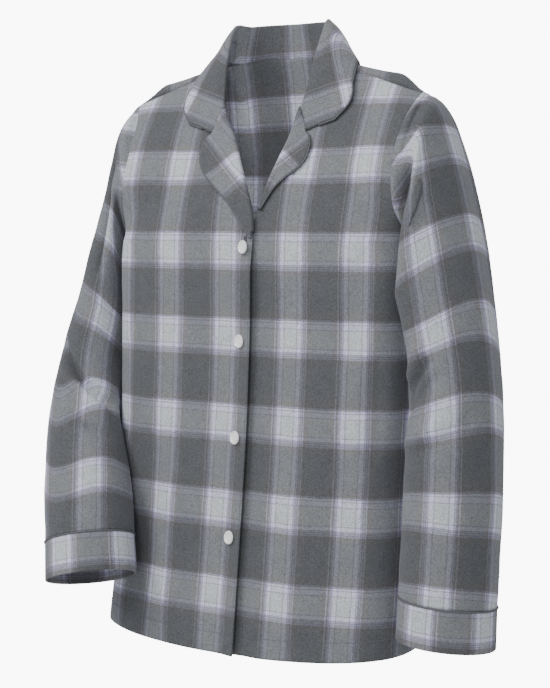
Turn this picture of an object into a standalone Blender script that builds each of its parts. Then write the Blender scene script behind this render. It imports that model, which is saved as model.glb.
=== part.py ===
"""Plaid flannel pajama top, filled out as it is worn.

Metres, +Z up, the front faces -Y and +X is the wearer's left.
The origin is the middle of the neck base, level with the high shoulder points.
Every cloth piece is a thin wall through sections worked out from the tables below,
and a half of the garment is measured by u, the distance from its centre plane.
"""
import math

import bmesh
import bpy
import numpy as np
from mathutils import Matrix, Vector

# ---- cloth, seams and trims -------------------------------------------------
WALL = 0.0018            # one layer of napped flannel with its seam allowance
CUFF_WALL = 0.0026       # a cuff is turned double
SEAM = 0.00025           # each of two sewn edges stands back by this much
PIPING_RADIUS = 0.0011
PIPING_GAP = 0.0006
CORD_REACH = 0.8         # share of the way to the notch that a cord covers at its end
ROLL_RADIUS = 0.0024     # inside radius where lapel and collar fold over
ROLL_GAP = 0.0007        # between a front's edge and the fold that it carries
LAPEL_LIFT = 0.0022      # a lapel's edge floats this far off the front
UNDER_TUCK = 0.0033      # the left front lies this far behind the right one
SHOULDER_RIDGE = 0.0190  # the top of the shoulder is this far above its seam
SHOULDER_LEAN = (0.0, -0.45, 0.90)   # the shoulder seam lies on the front slope

# ---- grid counts ------------------------------------------------------------
LOW_ROWS = 10            # hem to underarm
ARM_ROWS = 12            # underarm to shoulder point
FRONT_COLUMNS = 10
BACK_COLUMNS = 20
SLEEVE_RINGS = 18
CUFF_RINGS = 2
COLLAR_HALF_ROWS = 16
LAPEL_ROWS = 11

# ---- body: stations run 0 hem, 1 underarm, 2 shoulder -----------------------
BODY_COLUMNS = ("station", "centre_z", "depth_y", "roundness", "turn")
FRONT_SECTIONS = (
    (0.00, -0.648, -0.1160, 2.7, 0.37),
    (0.25, -0.532, -0.1000, 2.8, 0.36),
    (0.50, -0.418, -0.0865, 3.4, 0.30),
    (0.75, -0.306, -0.0775, 4.2, 0.25),
    (1.00, -0.198, -0.0755, 4.2, 0.27),
    (1.20, -0.160, -0.0695, 3.6, 0.50),
    (1.40, -0.122, -0.0575, 2.6, 0.85),
    (1.60, -0.082, -0.0390, 2.4, 1.00),
    (1.80, -0.040, -0.0220, 2.2, 1.00),
    (2.00, 0.006, 0.0010, 2.0, 1.00),
)
BACK_SECTIONS = (
    (0.00, -0.642, 0.0440, 2.7, 0.37),
    (0.25, -0.529, 0.0520, 2.8, 0.36),
    (0.50, -0.417, 0.0580, 2.9, 0.35),
    (0.75, -0.306, 0.0630, 2.9, 0.35),
    (1.00, -0.198, 0.0690, 2.9, 0.36),
    (1.20, -0.155, 0.0725, 2.8, 0.50),
    (1.40, -0.110, 0.0735, 2.6, 0.75),
    (1.60, -0.066, 0.0710, 2.4, 0.95),
    (1.80, -0.026, 0.0655, 2.2, 1.00),
    (2.00, 0.0125, 0.0560, 2.0, 1.00),
)
SIDE_SEAM = (                      # station, x, y, z
    (0.00, 0.1905, -0.0370, -0.638),
    (0.12, 0.1875, -0.0320, -0.584),
    (0.25, 0.1855, -0.0250, -0.527),
    (0.50, 0.1845, -0.0150, -0.415),
    (0.75, 0.1845, -0.0060, -0.305),
    (1.00, 0.1850, 0.0000, -0.198),
)
# degrees from the underarm, by the front, over the shoulder point at 180, and down the back
ARMHOLE = (                        # degrees, x, y, z
    (0, 0.1850, 0.0000, -0.198),
    (30, 0.1815, -0.0290, -0.189),
    (60, 0.1745, -0.0500, -0.165),
    (90, 0.1715, -0.0550, -0.132),
    (120, 0.1705, -0.0440, -0.097),
    (150, 0.1738, -0.0235, -0.063),
    (180, 0.1826, -0.0020, -0.038),
    (210, 0.1800, 0.0180, -0.042),
    (240, 0.1750, 0.0370, -0.075),
    (270, 0.1720, 0.0490, -0.121),
    (300, 0.1735, 0.0455, -0.165),
    (330, 0.1790, 0.0260, -0.189),
)
# u of each front's edge: closing edge, then roll line, then neck seam up to the shoulder
EDGE_COLUMNS = ("z", "right_u", "left_u")
FRONT_EDGE = (
    (-0.650, -0.0150, -0.0150),
    (-0.240, -0.0150, -0.0150),
    (-0.190, -0.0150, 0.0060),
    (-0.166, -0.0140, 0.0160),
    (-0.141, -0.0040, 0.0240),
    (-0.110, 0.0120, 0.0345),
    (-0.081, 0.0280, 0.0425),
    (-0.049, 0.0490, 0.0490),
    (-0.024, 0.0620, 0.0620),
    (0.006, 0.0720, 0.0720),
)
GORGE_Z = -0.049
BREAK_RIGHT_Z = -0.184
BREAK_LEFT_Z = -0.163
SHOULDER_NECK = (0.0720, 0.0040, 0.0000)
SHOULDER_POINT = (0.1826, -0.0020, -0.0380)
BACK_NECK = (                      # u, y, z
    (0.000, 0.0560, 0.0125),
    (0.022, 0.0548, 0.0124),
    (0.044, 0.0468, 0.0112),
    (0.060, 0.0330, 0.0080),
    (0.069, 0.0180, 0.0040),
    (0.072, 0.0040, 0.0000),
)

# ---- lapels and collar ------------------------------------------------------
LAPEL_COLUMNS = ("along", "u", "z")
LAPEL_EDGE_RIGHT = (
    (0.00, 0.0590, -0.0755),
    (0.10, 0.0650, -0.0840),
    (0.24, 0.0680, -0.1010),
    (0.33, 0.0635, -0.1145),
    (0.50, 0.0445, -0.1330),
    (0.75, 0.0175, -0.1560),
    (1.00, -0.0105, -0.1880),
)
LAPEL_EDGE_LEFT = (
    (0.00, 0.0590, -0.0755),
    (0.12, 0.0655, -0.0830),
    (0.30, 0.0690, -0.0985),
    (0.42, 0.0650, -0.1125),
    (0.60, 0.0490, -0.1260),
    (0.80, 0.0345, -0.1400),
    (1.00, 0.0205, -0.1620),
)
COLLAR_COLUMNS = ("station", "seam", "roll", "middle", "edge")
COLLAR = (
    (0.00, (0.0000, 0.0560, 0.0152), (0.0000, 0.0500, 0.0530),
     (0.0000, 0.0640, 0.0290), (0.0000, 0.0725, -0.0040)),
    (0.22, (0.0340, 0.0510, 0.0150), (0.0290, 0.0470, 0.0530),
     (0.0390, 0.0605, 0.0290), (0.0460, 0.0685, -0.0060)),
    (0.44, (0.0580, 0.0350, 0.0112), (0.0500, 0.0340, 0.0510),
     (0.0670, 0.0450, 0.0290), (0.0800, 0.0510, -0.0050)),
    (0.64, (0.0705, 0.0100, 0.0038), (0.0580, 0.0085, 0.0465),
     (0.0760, 0.0130, 0.0280), (0.0985, 0.0120, 0.0020)),
    (0.80, (0.0640, -0.0115, -0.0190), (0.0545, -0.0100, 0.0080),
     (0.0780, -0.0140, -0.0040), (0.1040, -0.0120, -0.0220)),
)
NOTCH = (0.0590, -0.0755)          # u and z where the collar leaves the lapel
COLLAR_CORNER = (0.1045, -0.0500)  # where the rounded corner begins, on the outer edge
COLLAR_END = (0.0930, -0.0645)     # and where it ends, on the front edge
COLLAR_CORNER_STATION = 0.94
COLLAR_LIFT = 0.0028
NECK_ROLL_U = 0.0490
COLLAR_STAND = 3         # columns of the collar from its neck seam up to the fold
GORGE_SHARED = (0, 1, 2, 3, 4, 6, 8)   # places on the lapel's first row that the collar takes
STAND_END = (0.0015, 0.0010, 0.0005)    # the stand dies away where the gorge begins
GORGE_GAP = 0.0006       # each side of the seam between collar and lapel

# ---- sleeves: a ring a row, from the armhole down to the cuff seam ----------
SLEEVE_COLUMNS = ("along", "inner_u", "inner_z", "outer_u", "outer_z", "middle_y", "lean",
                  "half_depth", "front_in", "front_up")
SLEEVE_LEFT = (
    (0.08, 0.1880, -0.2040, 0.1985, -0.0480, 0.0100, 0.0000, 0.0580, 0.004, 0.000),
    (0.17, 0.1900, -0.2130, 0.2140, -0.0820, 0.0090, 0.0030, 0.0640, 0.012, 0.000),
    (0.27, 0.1905, -0.2280, 0.2310, -0.1350, 0.0050, 0.0050, 0.0680, 0.026, 0.000),
    (0.37, 0.1910, -0.2520, 0.2485, -0.1960, -0.0040, 0.0070, 0.0670, 0.033, 0.000),
    (0.48, 0.1910, -0.2900, 0.2660, -0.2600, -0.0170, 0.0080, 0.0600, 0.020, 0.000),
    (0.60, 0.1915, -0.3450, 0.2800, -0.3300, -0.0270, 0.0090, 0.0530, 0.002, 0.000),
    (0.70, 0.1920, -0.3970, 0.2860, -0.3880, -0.0330, 0.0090, 0.0510, 0.000, 0.001),
    (0.80, 0.1915, -0.4530, 0.2890, -0.4500, -0.0390, 0.0090, 0.0510, 0.002, 0.002),
    (0.90, 0.1910, -0.5110, 0.2895, -0.5140, -0.0445, 0.0080, 0.0510, 0.002, 0.003),
    (1.00, 0.1895, -0.5700, 0.2885, -0.5790, -0.0490, 0.0060, 0.0510, 0.001, 0.004),
)
SLEEVE_RIGHT = (                   # this arm bends forward at the elbow
    (0.08, 0.1880, -0.2040, 0.1955, -0.0480, 0.0100, 0.0000, 0.0560, 0.004, 0.000),
    (0.17, 0.1900, -0.2130, 0.2060, -0.0820, 0.0090, 0.0020, 0.0600, 0.006, 0.000),
    (0.27, 0.1900, -0.2280, 0.2200, -0.1350, 0.0050, 0.0030, 0.0610, 0.008, 0.000),
    (0.37, 0.1895, -0.2500, 0.2370, -0.1960, -0.0030, 0.0040, 0.0590, 0.008, 0.000),
    (0.48, 0.1885, -0.2850, 0.2530, -0.2580, -0.0130, 0.0040, 0.0565, 0.006, 0.000),
    (0.60, 0.1880, -0.3350, 0.2640, -0.3200, -0.0300, 0.0030, 0.0530, 0.003, 0.003),
    (0.70, 0.1760, -0.3830, 0.2580, -0.3750, -0.0580, 0.0000, 0.0490, 0.000, 0.008),
    (0.80, 0.1550, -0.4270, 0.2480, -0.4320, -0.0860, -0.0030, 0.0470, 0.000, 0.011),
    (0.90, 0.1350, -0.4720, 0.2320, -0.4870, -0.1110, -0.0050, 0.0460, 0.000, 0.013),
    (1.00, 0.1180, -0.5220, 0.2165, -0.5470, -0.1310, -0.0050, 0.0460, 0.000, 0.013),
)
ARM_CLEAR = 0.0065       # a sleeve lies this far off the front that it rests against
CUFF_HEIGHT = 0.0430
CUFF_SPREAD = 0.0008

# ---- folds: a crease from one place to another; below zero is a ridge -------
# columns of every fold table: from a, from b, to a, to b, width, depth
SLEEVE_FOLDS_RIGHT = (             # a is degrees around, b is metres down the sleeve
    (165, 0.235, 45, 0.305, 0.011, 0.0080),
    (150, 0.265, 60, 0.335, 0.013, -0.0045),
    (110, 0.295, 30, 0.345, 0.009, 0.0045),
    (300, 0.250, 215, 0.300, 0.012, 0.0030),
    (105, 0.020, 80, 0.130, 0.012, 0.0060),
    (132, 0.030, 112, 0.170, 0.014, -0.0015),
    (250, 0.020, 275, 0.130, 0.013, 0.0040),
)
SLEEVE_FOLDS_LEFT = (
    (20, 0.275, 100, 0.235, 0.010, 0.0065),
    (25, 0.310, 100, 0.290, 0.012, -0.0040),
    (140, 0.280, 60, 0.320, 0.011, 0.0030),
    (105, 0.015, 62, 0.125, 0.013, 0.0110),
    (135, 0.030, 88, 0.165, 0.015, -0.0060),
    (300, 0.240, 220, 0.290, 0.012, 0.0045),
    (250, 0.020, 275, 0.130, 0.013, 0.0040),
)
FRONT_FOLDS = (                    # a is u, b is height z
    (0.150, -0.200, 0.128, -0.330, 0.013, 0.0030),
    (0.120, -0.420, 0.128, -0.620, 0.020, 0.0035),
    (0.072, -0.460, 0.080, -0.630, 0.018, -0.0025),
    (0.162, -0.310, 0.158, -0.430, 0.010, 0.0030),
)
BACK_FOLDS = (
    (0.140, -0.170, 0.105, -0.300, 0.016, 0.0040),
    (0.060, -0.380, 0.075, -0.620, 0.020, 0.0035),
    (-0.140, -0.170, -0.105, -0.300, 0.016, 0.0040),
    (-0.040, -0.400, -0.062, -0.620, 0.022, 0.0030),
    (0.010, -0.120, 0.006, -0.330, 0.018, 0.0020),
)
FOLD_ARM_RADIUS = 0.052            # turns degrees around an arm into metres

# ---- buttons ----------------------------------------------------------------
BUTTONS = (                        # x, z
    (0.0055, -0.2030),
    (0.0015, -0.3065),
    (0.0010, -0.4125),
    (0.0010, -0.5215),
)
BUTTON_RADIUS = 0.0077
BUTTON_SEGMENTS = 18
BUTTON_PROFILE = ((0.0, 0.0), (0.0058, 0.0), (0.0077, 0.0010), (0.0077, 0.0022), (0.0066, 0.0031),
                  (0.0052, 0.0025), (0.0, 0.0021))
BUTTON_HOLE_RADIUS = 0.0008
BUTTON_HOLE_OFFSET = 0.0017
BUTTON_GAP = 0.0006

# ---- colours ----------------------------------------------------------------
FLANNEL = (0.155, 0.165, 0.175, 1.0)
FLANNEL_LIGHT = (0.330, 0.340, 0.385, 1.0)
PIPING = (0.075, 0.080, 0.085, 1.0)
SHELL_WHITE = (0.86, 0.86, 0.84, 1.0)


# ---- curves and tables ------------------------------------------------------
def spline(stations, values, at):
    """Values at the places asked for, on a smooth curve through a table's rows."""
    stations = np.asarray(stations, float)
    values = np.asarray(values, float)
    slopes = np.gradient(values, stations, axis=0)
    at = np.clip(np.asarray(at, float), stations[0], stations[-1])
    row = np.clip(np.searchsorted(stations, at, side="right") - 1, 0, len(stations) - 2)
    step = stations[row + 1] - stations[row]
    part = (at - stations[row]) / step
    spare = (1,) * (values.ndim - 1)
    part = part.reshape(part.shape + spare)
    step = step.reshape(step.shape + spare)
    keep = 2 * part ** 3 - 3 * part ** 2 + 1
    rise = part ** 3 - 2 * part ** 2 + part
    fall = part ** 3 - part ** 2
    return (keep * values[row] + (1 - keep) * values[row + 1]
            + step * (rise * slopes[row] + fall * slopes[row + 1]))


def column(table, names, name, at):
    """One named column of a table, at the places asked for along its first column."""
    rows = np.array(table, float)
    return spline(rows[:, 0], rows[:, names.index(name)], at)


def smoothstep(low, high, value):
    part = np.clip((np.asarray(value, float) - low) / (high - low), 0, 1)
    return part * part * (3 - 2 * part)


def unit(vectors):
    return vectors / np.maximum(np.linalg.norm(vectors, axis=-1, keepdims=True), 1e-12)


def creases(table, a, b):
    """Depth of a table's folds at the places (a, b), in metres."""
    depth = np.zeros(np.broadcast(a, b).shape)
    for from_a, from_b, to_a, to_b, width, deep in table:
        run = np.array((to_a - from_a, to_b - from_b))
        length = np.hypot(*run)
        along = ((a - from_a) * run[0] + (b - from_b) * run[1]) / length
        across = ((a - from_a) * run[1] - (b - from_b) * run[0]) / length
        ends = smoothstep(-width, width * 1.5, along)
        ends = ends * smoothstep(-width, width * 1.5, length - along)
        depth += deep * ends * np.exp(-(across / width) ** 2)
    return depth


# ---- the body's surface -----------------------------------------------------
def armhole(around):
    """Points of the armhole seam; it closes on itself at 360 degrees."""
    rows = np.array(ARMHOLE, float)
    turn = np.array((360.0, 0, 0, 0))
    rows = np.vstack((rows[-2:] - turn, rows, rows[:3] + turn))
    return spline(rows[:, 0], rows[:, 1:], around)


def side_line(station, back):
    """Side seam up to station 1, then the armhole up to the shoulder at station 2."""
    station = np.asarray(station, float)
    low = np.array(SIDE_SEAM, float)
    seam = spline(low[:, 0], low[:, 1:], station)
    around = np.clip(station - 1, 0, 1) * 180
    arm = armhole(360 - around if back else around)
    return np.where((station > 1)[..., None], arm, seam)


def body_point(u, station, back):
    """Point of the outer cloth on a half of the body, u away from the centre plane."""
    table = BACK_SECTIONS if back else FRONT_SECTIONS
    u = np.asarray(u, float)
    side = side_line(station, back)
    centre_z = column(table, BODY_COLUMNS, "centre_z", station)
    depth = column(table, BODY_COLUMNS, "depth_y", station)
    power = column(table, BODY_COLUMNS, "roundness", station)
    turn = column(table, BODY_COLUMNS, "turn", station)
    part = np.clip(np.abs(u) / side[..., 0], 0, 1)
    y = side[..., 1] + (depth - side[..., 1]) * (1 - part ** power) ** turn
    z = centre_z + (side[..., 2] - centre_z) * part ** 2
    return np.stack((u + 0 * z, y, z), axis=-1)


def shoulder_seam(part):
    """Straight line from the neck to the shoulder point."""
    part = np.asarray(part, float)[..., None]
    return np.array(SHOULDER_NECK) * (1 - part) + np.array(SHOULDER_POINT) * part


def even_row(u_from, station, back, count):
    """Places u along one row, spaced evenly on the cloth."""
    side_u = side_line(station, back)[0]
    fine = u_from + (side_u - u_from) * (1 - (1 - np.linspace(0, 1, 240)) ** 2)
    points = body_point(fine, np.full_like(fine, station), back)
    length = np.concatenate(((0,), np.cumsum(np.linalg.norm(np.diff(points, axis=0), axis=1))))
    return np.interp(np.linspace(0, length[-1], count + 1), length, fine)


def roll_radius(z, break_z):
    """The fold's inside radius dies away towards the break."""
    return ROLL_RADIUS * (0.35 + 0.65 * smoothstep(break_z, break_z + 0.045, z))


def roll_setback(z, break_z):
    """How far a front's own edge stands back from the fold that it carries."""
    inside = smoothstep(break_z - 0.012, break_z - 0.004, z) * (1 - smoothstep(GORGE_Z, GORGE_Z + 0.012, z))
    return (roll_radius(z, break_z) + WALL + ROLL_GAP) * inside


def left_tuck(u, z):
    """The left front lies behind the right one where they lap."""
    return UNDER_TUCK * (1 - smoothstep(0.022, 0.048, u)) * (1 - smoothstep(-0.150, -0.120, z))


def front_point(u, station, is_left):
    point = body_point(u, station, back=False)
    if is_left:
        point[..., 1] += left_tuck(u, point[..., 2])
    return point


def stations_up():
    """Stations of a body panel's rows from the hem to the shoulder."""
    return np.concatenate((np.linspace(0, 1, LOW_ROWS + 1), np.linspace(1, 2, ARM_ROWS + 1)[1:]))


def front_grid(is_left):
    """Rows from hem to shoulder, columns from the front edge to the side seam."""
    name = "left_u" if is_left else "right_u"
    break_z = BREAK_LEFT_Z if is_left else BREAK_RIGHT_Z
    rows = []
    for station in stations_up():
        z = float(column(FRONT_SECTIONS, BODY_COLUMNS, "centre_z", station))
        edge = float(column(FRONT_EDGE, EDGE_COLUMNS, name, z)) + float(roll_setback(z, break_z))
        u = even_row(edge, station, False, FRONT_COLUMNS)
        rows.append(front_point(u, np.full_like(u, station), is_left))
    grid = np.array(rows)
    top = shoulder_seam(np.linspace(0, 1, FRONT_COLUMNS + 1))
    pull = smoothstep(1.55, 2.0, stations_up())[:, None, None]
    grid = grid + pull * (top - grid[-1])
    fade = smoothstep(0, 0.03, grid[..., 0] + 0.015) * smoothstep(0, 0.02, 0.184 - grid[..., 0])
    fade = fade * smoothstep(2.0, 1.7, stations_up())[:, None]
    grid[..., 1] += fade * creases(FRONT_FOLDS, grid[..., 0], grid[..., 2])
    return grid


def back_grid():
    """Rows from hem to neck and shoulders, columns from the right side seam to the left."""
    half = BACK_COLUMNS // 2
    rows = []
    for station in stations_up():
        u = even_row(0.0, station, True, half)
        points = body_point(u, np.full_like(u, station), True)
        rows.append(np.vstack((points[:0:-1] * (-1, 1, 1), points)))
    grid = np.array(rows)
    u = np.abs(grid[-1, :, 0])
    neck = np.array(BACK_NECK, float)
    neck_y = np.interp(u, neck[:, 0], neck[:, 1])
    neck_z = np.interp(u, neck[:, 0], neck[:, 2])
    seam = shoulder_seam((u - SHOULDER_NECK[0]) / (SHOULDER_POINT[0] - SHOULDER_NECK[0]))
    on_seam = u > SHOULDER_NECK[0]
    top = np.stack((grid[-1, :, 0], np.where(on_seam, seam[:, 1], neck_y),
                    np.where(on_seam, seam[:, 2], neck_z)), axis=-1)
    pull = smoothstep(1.45, 2.0, stations_up())[:, None, None]
    grid = grid + pull * (top - grid[-1])
    rise = np.clip((2 - stations_up()) / 0.4, 0, 1) ** 0.7
    across = smoothstep(0.045, 0.085, np.abs(grid[..., 0])) * smoothstep(0.184, 0.150, np.abs(grid[..., 0]))
    grid[..., 2] += SHOULDER_RIDGE * np.sin(math.pi * rise)[:, None] * across
    fade = smoothstep(0, 0.02, 0.184 - np.abs(grid[..., 0]))
    fade = fade * smoothstep(2.0, 1.6, stations_up())[:, None]
    grid[..., 1] -= fade * creases(BACK_FOLDS, grid[..., 0], grid[..., 2])
    return grid


def sleeve_grid(is_left):
    """Rings from the armhole to the cuff seam; a ring starts under the arm and goes by the front."""
    around = np.arange(2 * ARM_ROWS) * 180.0 / ARM_ROWS
    turn = np.radians(around)
    table = np.array(SLEEVE_LEFT if is_left else SLEEVE_RIGHT, float)
    named = {name: table[:, place] for place, name in enumerate(SLEEVE_COLUMNS)}
    rings = [armhole(around)]
    for row in range(len(table)):
        inner = np.array((named["inner_u"][row], -named["lean"][row], named["inner_z"][row]))
        outer = np.array((named["outer_u"][row], named["lean"][row], named["outer_z"][row]))
        middle = (inner + outer) / 2 + (0, named["middle_y"][row], 0)
        ring = middle - np.cos(turn)[:, None] * (outer - inner) / 2
        front = np.sin(turn)
        ring[:, 0] -= named["front_in"][row] * np.clip(front, 0, 1) ** 2
        ring[:, 1] -= named["half_depth"][row] * front
        ring[:, 2] += named["front_up"][row] * front
        rings.append(ring)
    along = np.concatenate(((0,), named["along"]))
    places = np.linspace(0, 1, SLEEVE_RINGS + 1) ** 1.15
    grid = spline(along, np.array(rings), places)
    centre = grid.mean(axis=1)
    down = np.concatenate(((0,), np.cumsum(np.linalg.norm(np.diff(centre, axis=0), axis=1))))
    folds = SLEEVE_FOLDS_LEFT if is_left else SLEEVE_FOLDS_RIGHT
    metres = [(math.radians(a) * FOLD_ARM_RADIUS, b, math.radians(c) * FOLD_ARM_RADIUS, d, width, depth)
              for a, b, c, d, width, depth in folds]
    depth = creases(metres, turn[None, :] * FOLD_ARM_RADIUS, down[:, None])
    depth *= smoothstep(0, 0.05, down)[:, None] * smoothstep(0, 0.06, down[-1] - down)[:, None]
    depth *= smoothstep(0, 40, np.minimum(around, 360 - around))[None, :]
    grid = grid - ring_normals(grid) * depth[..., None]
    grid[2:, :, 1] -= inside_front(grid[2:])
    return grid


def inside_front(points):
    """How far points beside the body would have to come forward to lie clear of its front."""
    seam = np.array(SIDE_SEAM, float)
    station = np.interp(points[..., 2], seam[:, 3], seam[:, 0])
    side_u = side_line(station, False)[..., 0]
    surface = body_point(np.minimum(points[..., 0], side_u), station, False)[..., 1]
    deep = np.clip(points[..., 1] - surface + ARM_CLEAR, 0, None)
    return deep * smoothstep(side_u + ARM_CLEAR, side_u + ARM_CLEAR / 2, points[..., 0])


# ---- normals and walls ------------------------------------------------------
def grid_normals(grid, outward_from):
    """Unit normals of an open grid, turned away from a point or a row of points."""
    normal = unit(np.cross(np.gradient(grid, axis=0), np.gradient(grid, axis=1)))
    away = np.sum(normal * (grid - outward_from), axis=-1)
    return normal * (1.0 if np.median(away) >= 0 else -1.0)


def ring_normals(grid):
    """Unit normals of a tube of rings, pointing out."""
    wrapped = np.concatenate((grid[:, -1:], grid, grid[:, :1]), axis=1)
    across = (wrapped[:, 2:] - wrapped[:, :-2]) / 2
    normal = unit(np.cross(np.gradient(grid, axis=0), across))
    away = np.sum(normal * (grid - grid.mean(axis=1, keepdims=True)), axis=-1)
    return normal * (1.0 if np.median(away) >= 0 else -1.0)


def shared_offset(own, other, wall):
    """Inward step at a seam that both sewn pieces take, kept short on a sharp seam."""
    between = unit(own + other)
    cosine = np.clip(np.sum(between * own, axis=-1, keepdims=True), 0.55, 1)
    return -between * wall / cosine


def stand_back(grid, sides, gap=SEAM):
    """Move the named edges of a grid into the piece, to leave the gap of a seam."""
    grid = grid.copy()
    edges = {"first_row": (np.s_[0], np.s_[1]), "last_row": (np.s_[-1], np.s_[-2]),
             "first_column": (np.s_[:, 0], np.s_[:, 1]), "last_column": (np.s_[:, -1], np.s_[:, -2])}
    for side in sides:
        edge, inside = edges[side]
        grid[edge] = grid[edge] + unit(grid[inside] - grid[edge]) * gap
    return grid


def material(name, colour, roughness):
    made = bpy.data.materials.get(name)
    if made is None:
        made = bpy.data.materials.new(name)
        made.use_nodes = True
        shader = made.node_tree.nodes["Principled BSDF"]
        shader.inputs["Base Color"].default_value = colour
        shader.inputs["Roughness"].default_value = roughness
        shader.inputs["Metallic"].default_value = 0.0
    return made


def finish(name, mesh_bmesh, look, smooth=True):
    """Turn a bmesh into a named object whose faces point out."""
    bmesh.ops.recalc_face_normals(mesh_bmesh, faces=mesh_bmesh.faces)
    mesh = bpy.data.meshes.new(name)
    mesh_bmesh.to_mesh(mesh)
    mesh_bmesh.free()
    if smooth:
        mesh.shade_smooth()
        mesh.set_sharp_from_angle(angle=math.radians(50))
    mesh.materials.append(material(*look))
    made = bpy.data.objects.new(name, mesh)
    bpy.context.scene.collection.objects.link(made)
    return made


def wall(name, outer, inner, look, closed=False, mirror=False):
    """Closed wall between two grids; closed joins the last column to the first."""
    if mirror:
        outer = outer * (-1, 1, 1)
        inner = inner * (-1, 1, 1)
    build = bmesh.new()
    rows, columns = outer.shape[:2]
    skins = [[[build.verts.new(point) for point in row] for row in grid] for grid in (outer, inner)]
    steps = columns if closed else columns - 1
    for row in range(rows - 1):
        for place in range(steps):
            beside = (place + 1) % columns
            for skin in skins:
                build.faces.new((skin[row][place], skin[row][beside],
                                 skin[row + 1][beside], skin[row + 1][place]))
    for row in (0, rows - 1):
        for place in range(steps):
            beside = (place + 1) % columns
            build.faces.new((skins[0][row][place], skins[0][row][beside],
                             skins[1][row][beside], skins[1][row][place]))
    if not closed:
        for place in (0, columns - 1):
            for row in range(rows - 1):
                build.faces.new((skins[0][row][place], skins[0][row + 1][place],
                                 skins[1][row + 1][place], skins[1][row][place]))
    return finish(name, build, look)


def tube(name, centres, radius, look, sides=6, closed=False):
    """Round cord through a row of centres, with flat ends."""
    centres = np.asarray(centres, float)
    if closed:
        wrapped = np.vstack((centres[-1:], centres, centres[:1]))
        tangent = unit(wrapped[2:] - wrapped[:-2])
    else:
        tangent = unit(np.gradient(centres, axis=0))
    build = bmesh.new()
    rings = []
    across = unit(np.cross(tangent[0], (0.13, 0.31, 0.94)))
    for centre, along in zip(centres, tangent):
        across = unit(across - along * np.dot(across, along))
        beside = np.cross(along, across)
        turns = (2 * math.pi * step / sides for step in range(sides))
        rings.append([build.verts.new(centre + radius * (math.cos(turn) * across + math.sin(turn) * beside))
                      for turn in turns])
    pairs = list(zip(rings, rings[1:]))
    if closed:
        shift = min(range(sides), key=lambda step: (rings[0][step].co - rings[-1][0].co).length)
        pairs.append((rings[-1], rings[0][shift:] + rings[0][:shift]))
    for here, there in pairs:
        for step in range(sides):
            beside = (step + 1) % sides
            build.faces.new((here[step], here[beside], there[beside], there[step]))
    if not closed:
        build.faces.new(rings[0])
        build.faces.new(rings[-1])
    return finish(name, build, look)


# ---- folded pieces: lapels and collar ---------------------------------------
def front_at(u, z, is_left):
    """Station on a front's surface where it has the height z, at u from the centre."""
    fine = np.linspace(0.8, 2.0, 400)
    heights = body_point(np.full_like(fine, u), fine, False)[:, 2]
    return float(np.interp(z, heights, fine))


def on_front(u, z, lift):
    """Place above the right front's cloth, given by u and height."""
    station = front_at(u, z, False)
    return front_point(np.array(u), np.array(station), False) + front_normal(u, station, False) * lift


def front_normal(u, station, is_left):
    """Outward normal of a front."""
    step = 0.0015
    rise = 0.004
    here = front_point(np.array((u - step, u + step)), np.array((station, station)), is_left)
    high = front_point(np.array((u, u)), np.array((station - rise, station + rise)), is_left)
    normal = np.cross(here[1] - here[0], high[1] - high[0])
    return unit(normal * (1 if normal[1] < 0 else -1))


def fold_path(seam, crest, up, out, radius, places):
    """Under face of a folded piece: seam, fold round the crest, then the places beyond."""
    centre = crest - up * (radius + WALL)
    turns = np.radians((-90, -45, 0, 45, 90))
    arc = [centre + radius * (np.cos(turn) * up + np.sin(turn) * out) for turn in turns]
    return np.array(list(seam) + arc + list(places))


def path_wall(grid, facing, gorge_rows):
    """Offset every section of a folded piece to its top face, alike on both sides of a gorge."""
    normal = unit(np.cross(np.gradient(grid, axis=0), np.gradient(grid, axis=1))) * facing
    for row, columns, places, flip in gorge_rows:
        normal[row, columns] = gorge_normals()[places] * (flip, 1, 1)
    return grid + normal * WALL


def open_gorge(grid, row, columns, across):
    """Move one side of the gorge seam back from the other."""
    grid = grid.copy()
    grid[row, columns] += across * GORGE_GAP
    return grid


def rim_cord(under, top, middle):
    """Centres of the cord sewn along an edge, outside it as seen from the piece's middle."""
    edge = (under + top) / 2
    square = unit(np.cross(np.gradient(edge, axis=0), top - under))
    square = square * np.sign(np.sum((edge - middle) * square))
    return edge + square * (PIPING_RADIUS + PIPING_GAP)


def collar_rim(skin):
    """Edge of one face of the collar, from notch to notch by the front ends and the outer edge."""
    front = COLLAR_STAND + len(GORGE_SHARED)
    ends = [skin[row, front] + (skin[row, front - 1] - skin[row, front]) * CORD_REACH for row in (0, -1)]
    return np.vstack((ends[:1], skin[0, front:-1], skin[:, -1], skin[-1, -2:front - 1:-1], ends[1:]))


def lapel_grid(is_left):
    """Rows from the gorge seam down to the break, columns across the fold to the edge."""
    name = "left_u" if is_left else "right_u"
    table = LAPEL_EDGE_LEFT if is_left else LAPEL_EDGE_RIGHT
    break_z = BREAK_LEFT_Z if is_left else BREAK_RIGHT_Z
    rows = []
    for along in np.linspace(0, 1, LAPEL_ROWS):
        roll_z = GORGE_Z + (break_z - GORGE_Z) * along
        roll_u = float(column(FRONT_EDGE, EDGE_COLUMNS, name, roll_z))
        edge_u = float(column(table, LAPEL_COLUMNS, "u", along))
        edge_z = float(column(table, LAPEL_COLUMNS, "z", along))
        rows.append(lapel_row(roll_u, roll_z, edge_u, edge_z, break_z, is_left))
    return np.array(rows)


def gorge_row():
    """Under face of the right gorge seam, from the fold to the notch."""
    return lapel_row(NECK_ROLL_U, GORGE_Z, NOTCH[0], NOTCH[1], BREAK_RIGHT_Z, False)


def gorge_side():
    """Direction across the gorge seam, from the collar to the lapel."""
    row = gorge_row()
    run = unit(row[-1] - row[-3])
    out = front_normal(NOTCH[0], front_at(*NOTCH, False), False)
    across = unit(np.cross(run, out))
    return across * (-1 if across[0] > 0 else 1)


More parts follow.
